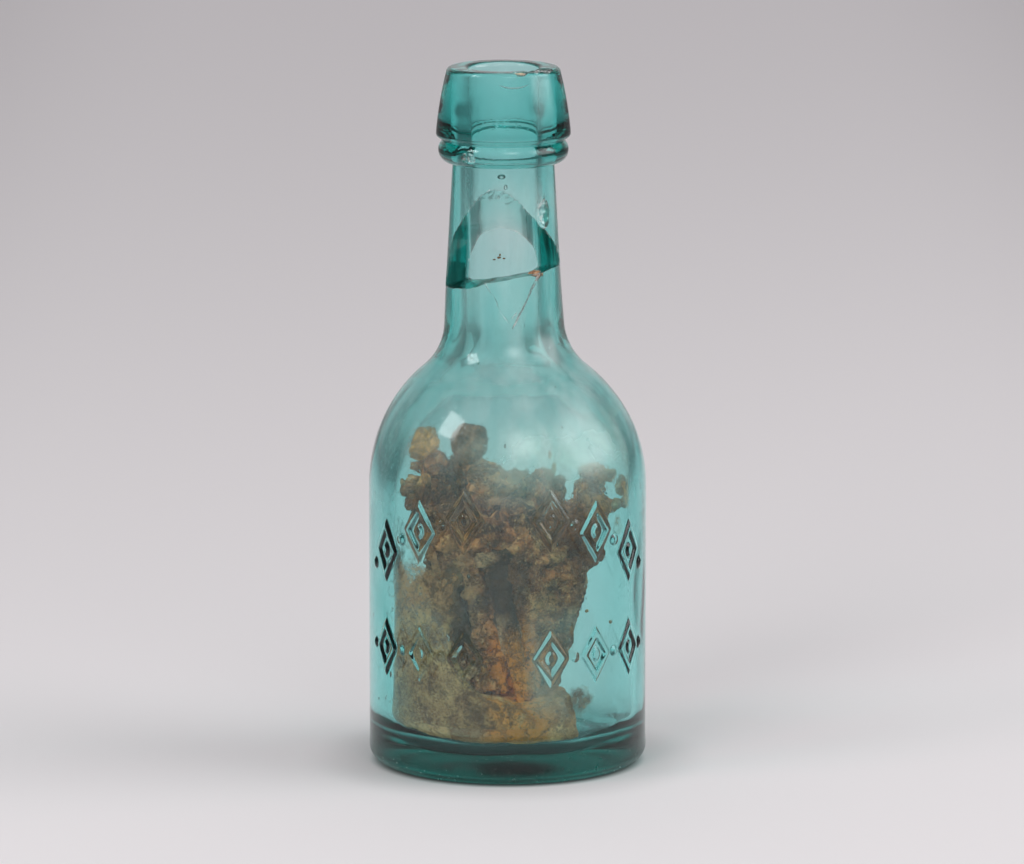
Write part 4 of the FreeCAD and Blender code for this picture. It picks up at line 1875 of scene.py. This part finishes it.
    def _lamps(self) -> None:
        """Hangs the soft lamps."""
        for box in self.softboxes:
            lamp = bpy.data.lights.new(box.name, "AREA")
            lamp.shape = "RECTANGLE"
            lamp.size = box.width
            lamp.size_y = box.height
            lamp.energy = box.power
            self._soften(lamp, box.soft_edge)
            holder = self._hold(box.name, lamp, box.place, self.aim)
            holder.visible_transmission = False
            holder.visible_glossy = box.mirrored
            holder.visible_camera = False

    def _camera(self) -> None:
        """Sets the camera at the photograph's angle."""
        camera = bpy.data.cameras.new("camera")
        camera.sensor_fit = "HORIZONTAL"
        camera.sensor_width = self.sensor
        camera.lens = self.focal_pixels * self.sensor / IMAGE_WIDTH
        camera.clip_start = 0.05
        camera.clip_end = 30.0
        bpy.context.scene.camera = self._hold("camera", camera, self.camera_place, self.camera_aim)

    def build(self) -> None:
        """Builds the studio."""
        bpy.context.scene.view_settings.view_transform = "Standard"
        bpy.context.scene.cycles.max_bounces = self.glass_bounces
        bpy.context.scene.cycles.transmission_bounces = self.glass_bounces
        bpy.context.scene.cycles.transparent_max_bounces = self.clear_bounces
        self._floor()
        self._world()
        self._lamps()
        self._camera()


NAILS = (
    "nail_left_tall", "nail_left_edge", "nail_knob_head", "nail_front_dark", "nail_centre",
    "nail_right_lean", "nail_front_low", "nail_rear_left", "nail_rear_centre", "nail_rear_right",
    "nail_middle", "nail_right_edge",
)

NAIL_RUST = Corrosion(
    voxel=0.5, lump_size=5.0, lump_height=1.15, grain_size=1.4, grain_height=0.45, swell=0.45, smoothing=4
)
CRUST_RUST = Corrosion(
    voxel=0.7, lump_size=4.8, lump_height=2.5, grain_size=1.8, grain_height=1.0, swell=0.3
)
CAKE_GRAIN = Corrosion(voxel=0.7, lump_size=7.0, lump_height=0.9, grain_size=1.4, grain_height=0.3)

ORANGE = shade(238, 132, 40)
TAN = shade(255, 164, 92)
SOOT = shade(62, 35, 26)

IRON_COLOURS = CrustColours(
    name="RustedIron",
    dark=shade(74, 40, 28),
    middle=shade(172, 108, 76),
    light=shade(238, 174, 132),
    mottle_scale=260.0,
    bump=0.8,
    stains=(
        Stain((-22.0, -4.0, 78.0), (9.0, 12.0, 9.0), TAN),
        Stain((24.0, -6.0, 68.0), (8.0, 12.0, 10.0), shade(216, 140, 92), 0.8),
        Stain((0.0, -20.0, 46.0), (8.0, 10.0, 12.0), SOOT, 0.85),
        Stain((-11.0, -24.0, 44.0), (5.0, 8.0, 14.0), SOOT, 0.8),
        Stain((2.0, -20.0, 22.0), (9.0, 12.0, 16.0), ORANGE, 0.85),
    ),
)

CRUST_COLOURS = CrustColours(
    name="RustCrust",
    dark=shade(84, 42, 26),
    middle=shade(210, 124, 76),
    light=shade(246, 180, 126),
    mottle_scale=170.0,
    bump=0.9,
    stains=(
        Stain((-16.0, -14.0, 40.0), (12.0, 16.0, 18.0), shade(214, 150, 108), 0.7),
        Stain((1.0, -16.0, 24.0), (9.0, 12.0, 18.0), ORANGE, 0.9),
        Stain((0.0, -20.0, 47.0), (7.0, 10.0, 10.0), SOOT, 0.7),
        Stain((20.0, -10.0, 56.0), (10.0, 14.0, 9.0), shade(104, 56, 36), 0.7),
        Stain((-24.0, -8.0, 66.0), (7.0, 12.0, 6.0), shade(96, 52, 34), 0.7),
    ),
)

SILT_COLOURS = CrustColours(
    name="DriedSilt",
    dark=shade(152, 94, 62),
    middle=shade(211, 142, 96),
    light=shade(240, 184, 136),
    mottle_scale=150.0,
    bump=0.7,
    stains=(
        Stain((3.0, -24.0, 16.0), (9.0, 14.0, 12.0), ORANGE, 0.75),
        Stain((-10.0, -26.0, 14.0), (5.0, 8.0, 5.0), shade(160, 128, 104), 0.6),
    ),
)


CRUMB_COLOURS = CrustColours(
    name="RustCrumbs",
    dark=shade(128, 92, 70),
    middle=shade(206, 152, 112),
    light=shade(236, 196, 160),
    mottle_scale=420.0,
    bump=0.5,
    stains=(Stain((-1.0, 8.0, 124.0), (4.0, 4.0, 4.0), shade(120, 84, 46), 0.8),),
)

DUST_COLOURS = CrustColours(
    name="ChipDirt",
    dark=shade(170, 152, 124),
    middle=shade(224, 212, 186),
    light=shade(246, 241, 230),
    mottle_scale=480.0,
    bump=0.5,
)


FILM_COLOURS = FilmColours(
    name="SiltFilm",
    dark=shade(104, 62, 42),
    middle=shade(172, 118, 80),
    pale=shade(208, 154, 108),
    bloom_and_reflection=shade(240, 232, 222),
    stains=(
        Stain((-19.0, -20.0, 50.0), (12.0, 14.0, 12.0), shade(184, 112, 74), 0.7),
        Stain((2.0, -28.0, 24.0), (8.0, 12.0, 17.0), ORANGE, 0.8),
        Stain((-10.5, -27.0, 38.0), (3.4, 8.0, 11.0), SOOT, 0.85),
        Stain((-7.0, -28.0, 17.0), (3.0, 8.0, 3.0), SOOT, 0.5),
        Stain((16.5, -24.0, 19.0), (6.0, 8.0, 6.0), SOOT, 0.7),
        Stain((26.0, -13.0, 69.0), (8.0, 10.0, 8.0), TAN, 0.7),
    ),
)

CLOD_PLACES = (
    ClodPlace("nail_middle", 0.93, 4.8),
    ClodPlace("nail_rear_left", 0.95, 5.2),
    ClodPlace("nail_rear_left", 0.8, 5.6),
    ClodPlace("nail_rear_centre", 0.92, 5.4),
    ClodPlace("nail_rear_right", 0.93, 5.0),
    ClodPlace("nail_centre", 0.9, 4.6),
    ClodPlace("nail_front_dark", 0.8, 4.2),
    ClodPlace("nail_left_tall", 0.86, 4.6),
    ClodPlace("nail_left_tall", 0.72, 5.4),
    ClodPlace("nail_left_tall", 0.56, 5.8),
    ClodPlace("nail_left_edge", 0.92, 4.6),
    ClodPlace("nail_left_edge", 0.74, 5.0),
    ClodPlace("nail_left_edge", 0.55, 5.0),
    ClodPlace("nail_knob_head", 0.84, 4.0),
    ClodPlace("nail_right_lean", 0.88, 4.0),
    ClodPlace("nail_right_lean", 0.74, 4.4),
    ClodPlace("nail_right_edge", 0.9, 4.2),
    ClodPlace("nail_right_edge", 0.7, 4.4),
)


RUST_CRUMBS = (
    Crumb(66.0, 28.6, 70.5, (1.6, 1.2, 2.4)),
    Crumb(61.0, 28.4, 66.5, (1.2, 1.0, 1.6)),
    Crumb(71.0, 28.4, 66.0, (1.0, 0.8, 1.3)),
    Crumb(23.0, 27.6, 77.0, (0.5, 0.5, 1.5)),
    Crumb(21.5, 27.0, 80.2, (0.35, 0.4, 0.9)),
    Crumb(39.0, 28.9, 41.7, (0.5, 0.4, 0.45)),
    Crumb(55.0, 28.9, 37.8, (0.4, 0.4, 0.45)),
    Crumb(-58.0, 28.6, 72.0, (0.7, 0.5, 0.8)),
    Crumb(188.0, 8.1, 123.6, (0.5, 0.2, 0.26), False),
    Crumb(196.0, 8.1, 123.2, (0.36, 0.18, 0.16), False),
    Crumb(179.0, 8.1, 123.4, (0.3, 0.18, 0.18), False),
    Crumb(186.0, 8.1, 124.3, (0.2, 0.16, 0.3), False),
    Crumb(41.0, 11.6, 122.3, (1.5, 1.4, 0.8), False),
)
CHIP_CRUMBS = (
    Crumb(21.0, 11.0, 171.3, (1.2, 0.5, 0.42), False),
    Crumb(15.5, 11.1, 171.4, (0.8, 0.5, 0.35), False),
    Crumb(26.0, 11.1, 171.2, (0.7, 0.5, 0.35), False),
    Crumb(19.0, 11.6, 171.0, (0.9, 0.4, 0.3), False),
    Crumb(11.5, 11.3, 171.55, (0.5, 0.4, 0.22), False),
)


def main() -> None:
    """Builds the bottle, its contents and the studio, in that order."""
    logging.basicConfig(level=logging.INFO, format="%(name)s: %(message)s")
    section = GlassSection()
    effects = EffectGroups()
    earth = EarthFinish(effects)
    bottle = GlassBottle(section, MouldedBands(), NeckBreak(section))
    bottle.dress(bottle.build(), GlassFinish())
    iron = earth.make(IRON_COLOURS)
    for node in NAILS:
        nail = CorrodedSolid(node, f"{node}_rusted", NAIL_RUST, section)
        nail.dress(nail.build(), iron, Slot.IRON)
    clods = tuple((clod.place(), clod.size) for clod in CLOD_PLACES)
    crust = CorrodedSolid("rust_crust", "rust_crust_lumpy", CRUST_RUST, section, clods=clods)
    crust.dress(crust.build(), earth.make(CRUST_COLOURS), Slot.CRUST)
    cake = CorrodedSolid("silt_cake", "silt_cake_settled", CAKE_GRAIN, section)
    cake.dress(cake.build(), earth.make(SILT_COLOURS), Slot.SILT)
    for name, crumbs, colours, slot in (
        ("clinging_rust", RUST_CRUMBS, CRUMB_COLOURS, Slot.CRUST),
        ("chip_dirt", CHIP_CRUMBS, DUST_COLOURS, Slot.SILT),
    ):
        clinging = ClingingCrumbs(name, crumbs, section)
        clinging.dress(clinging.build(), earth.make(colours), slot)
    film = SiltFilm(section)
    film.dress(film.build(), FilmFinish(effects).make(FILM_COLOURS))
    Studio().build()


if __name__ == "__main__":
    main()
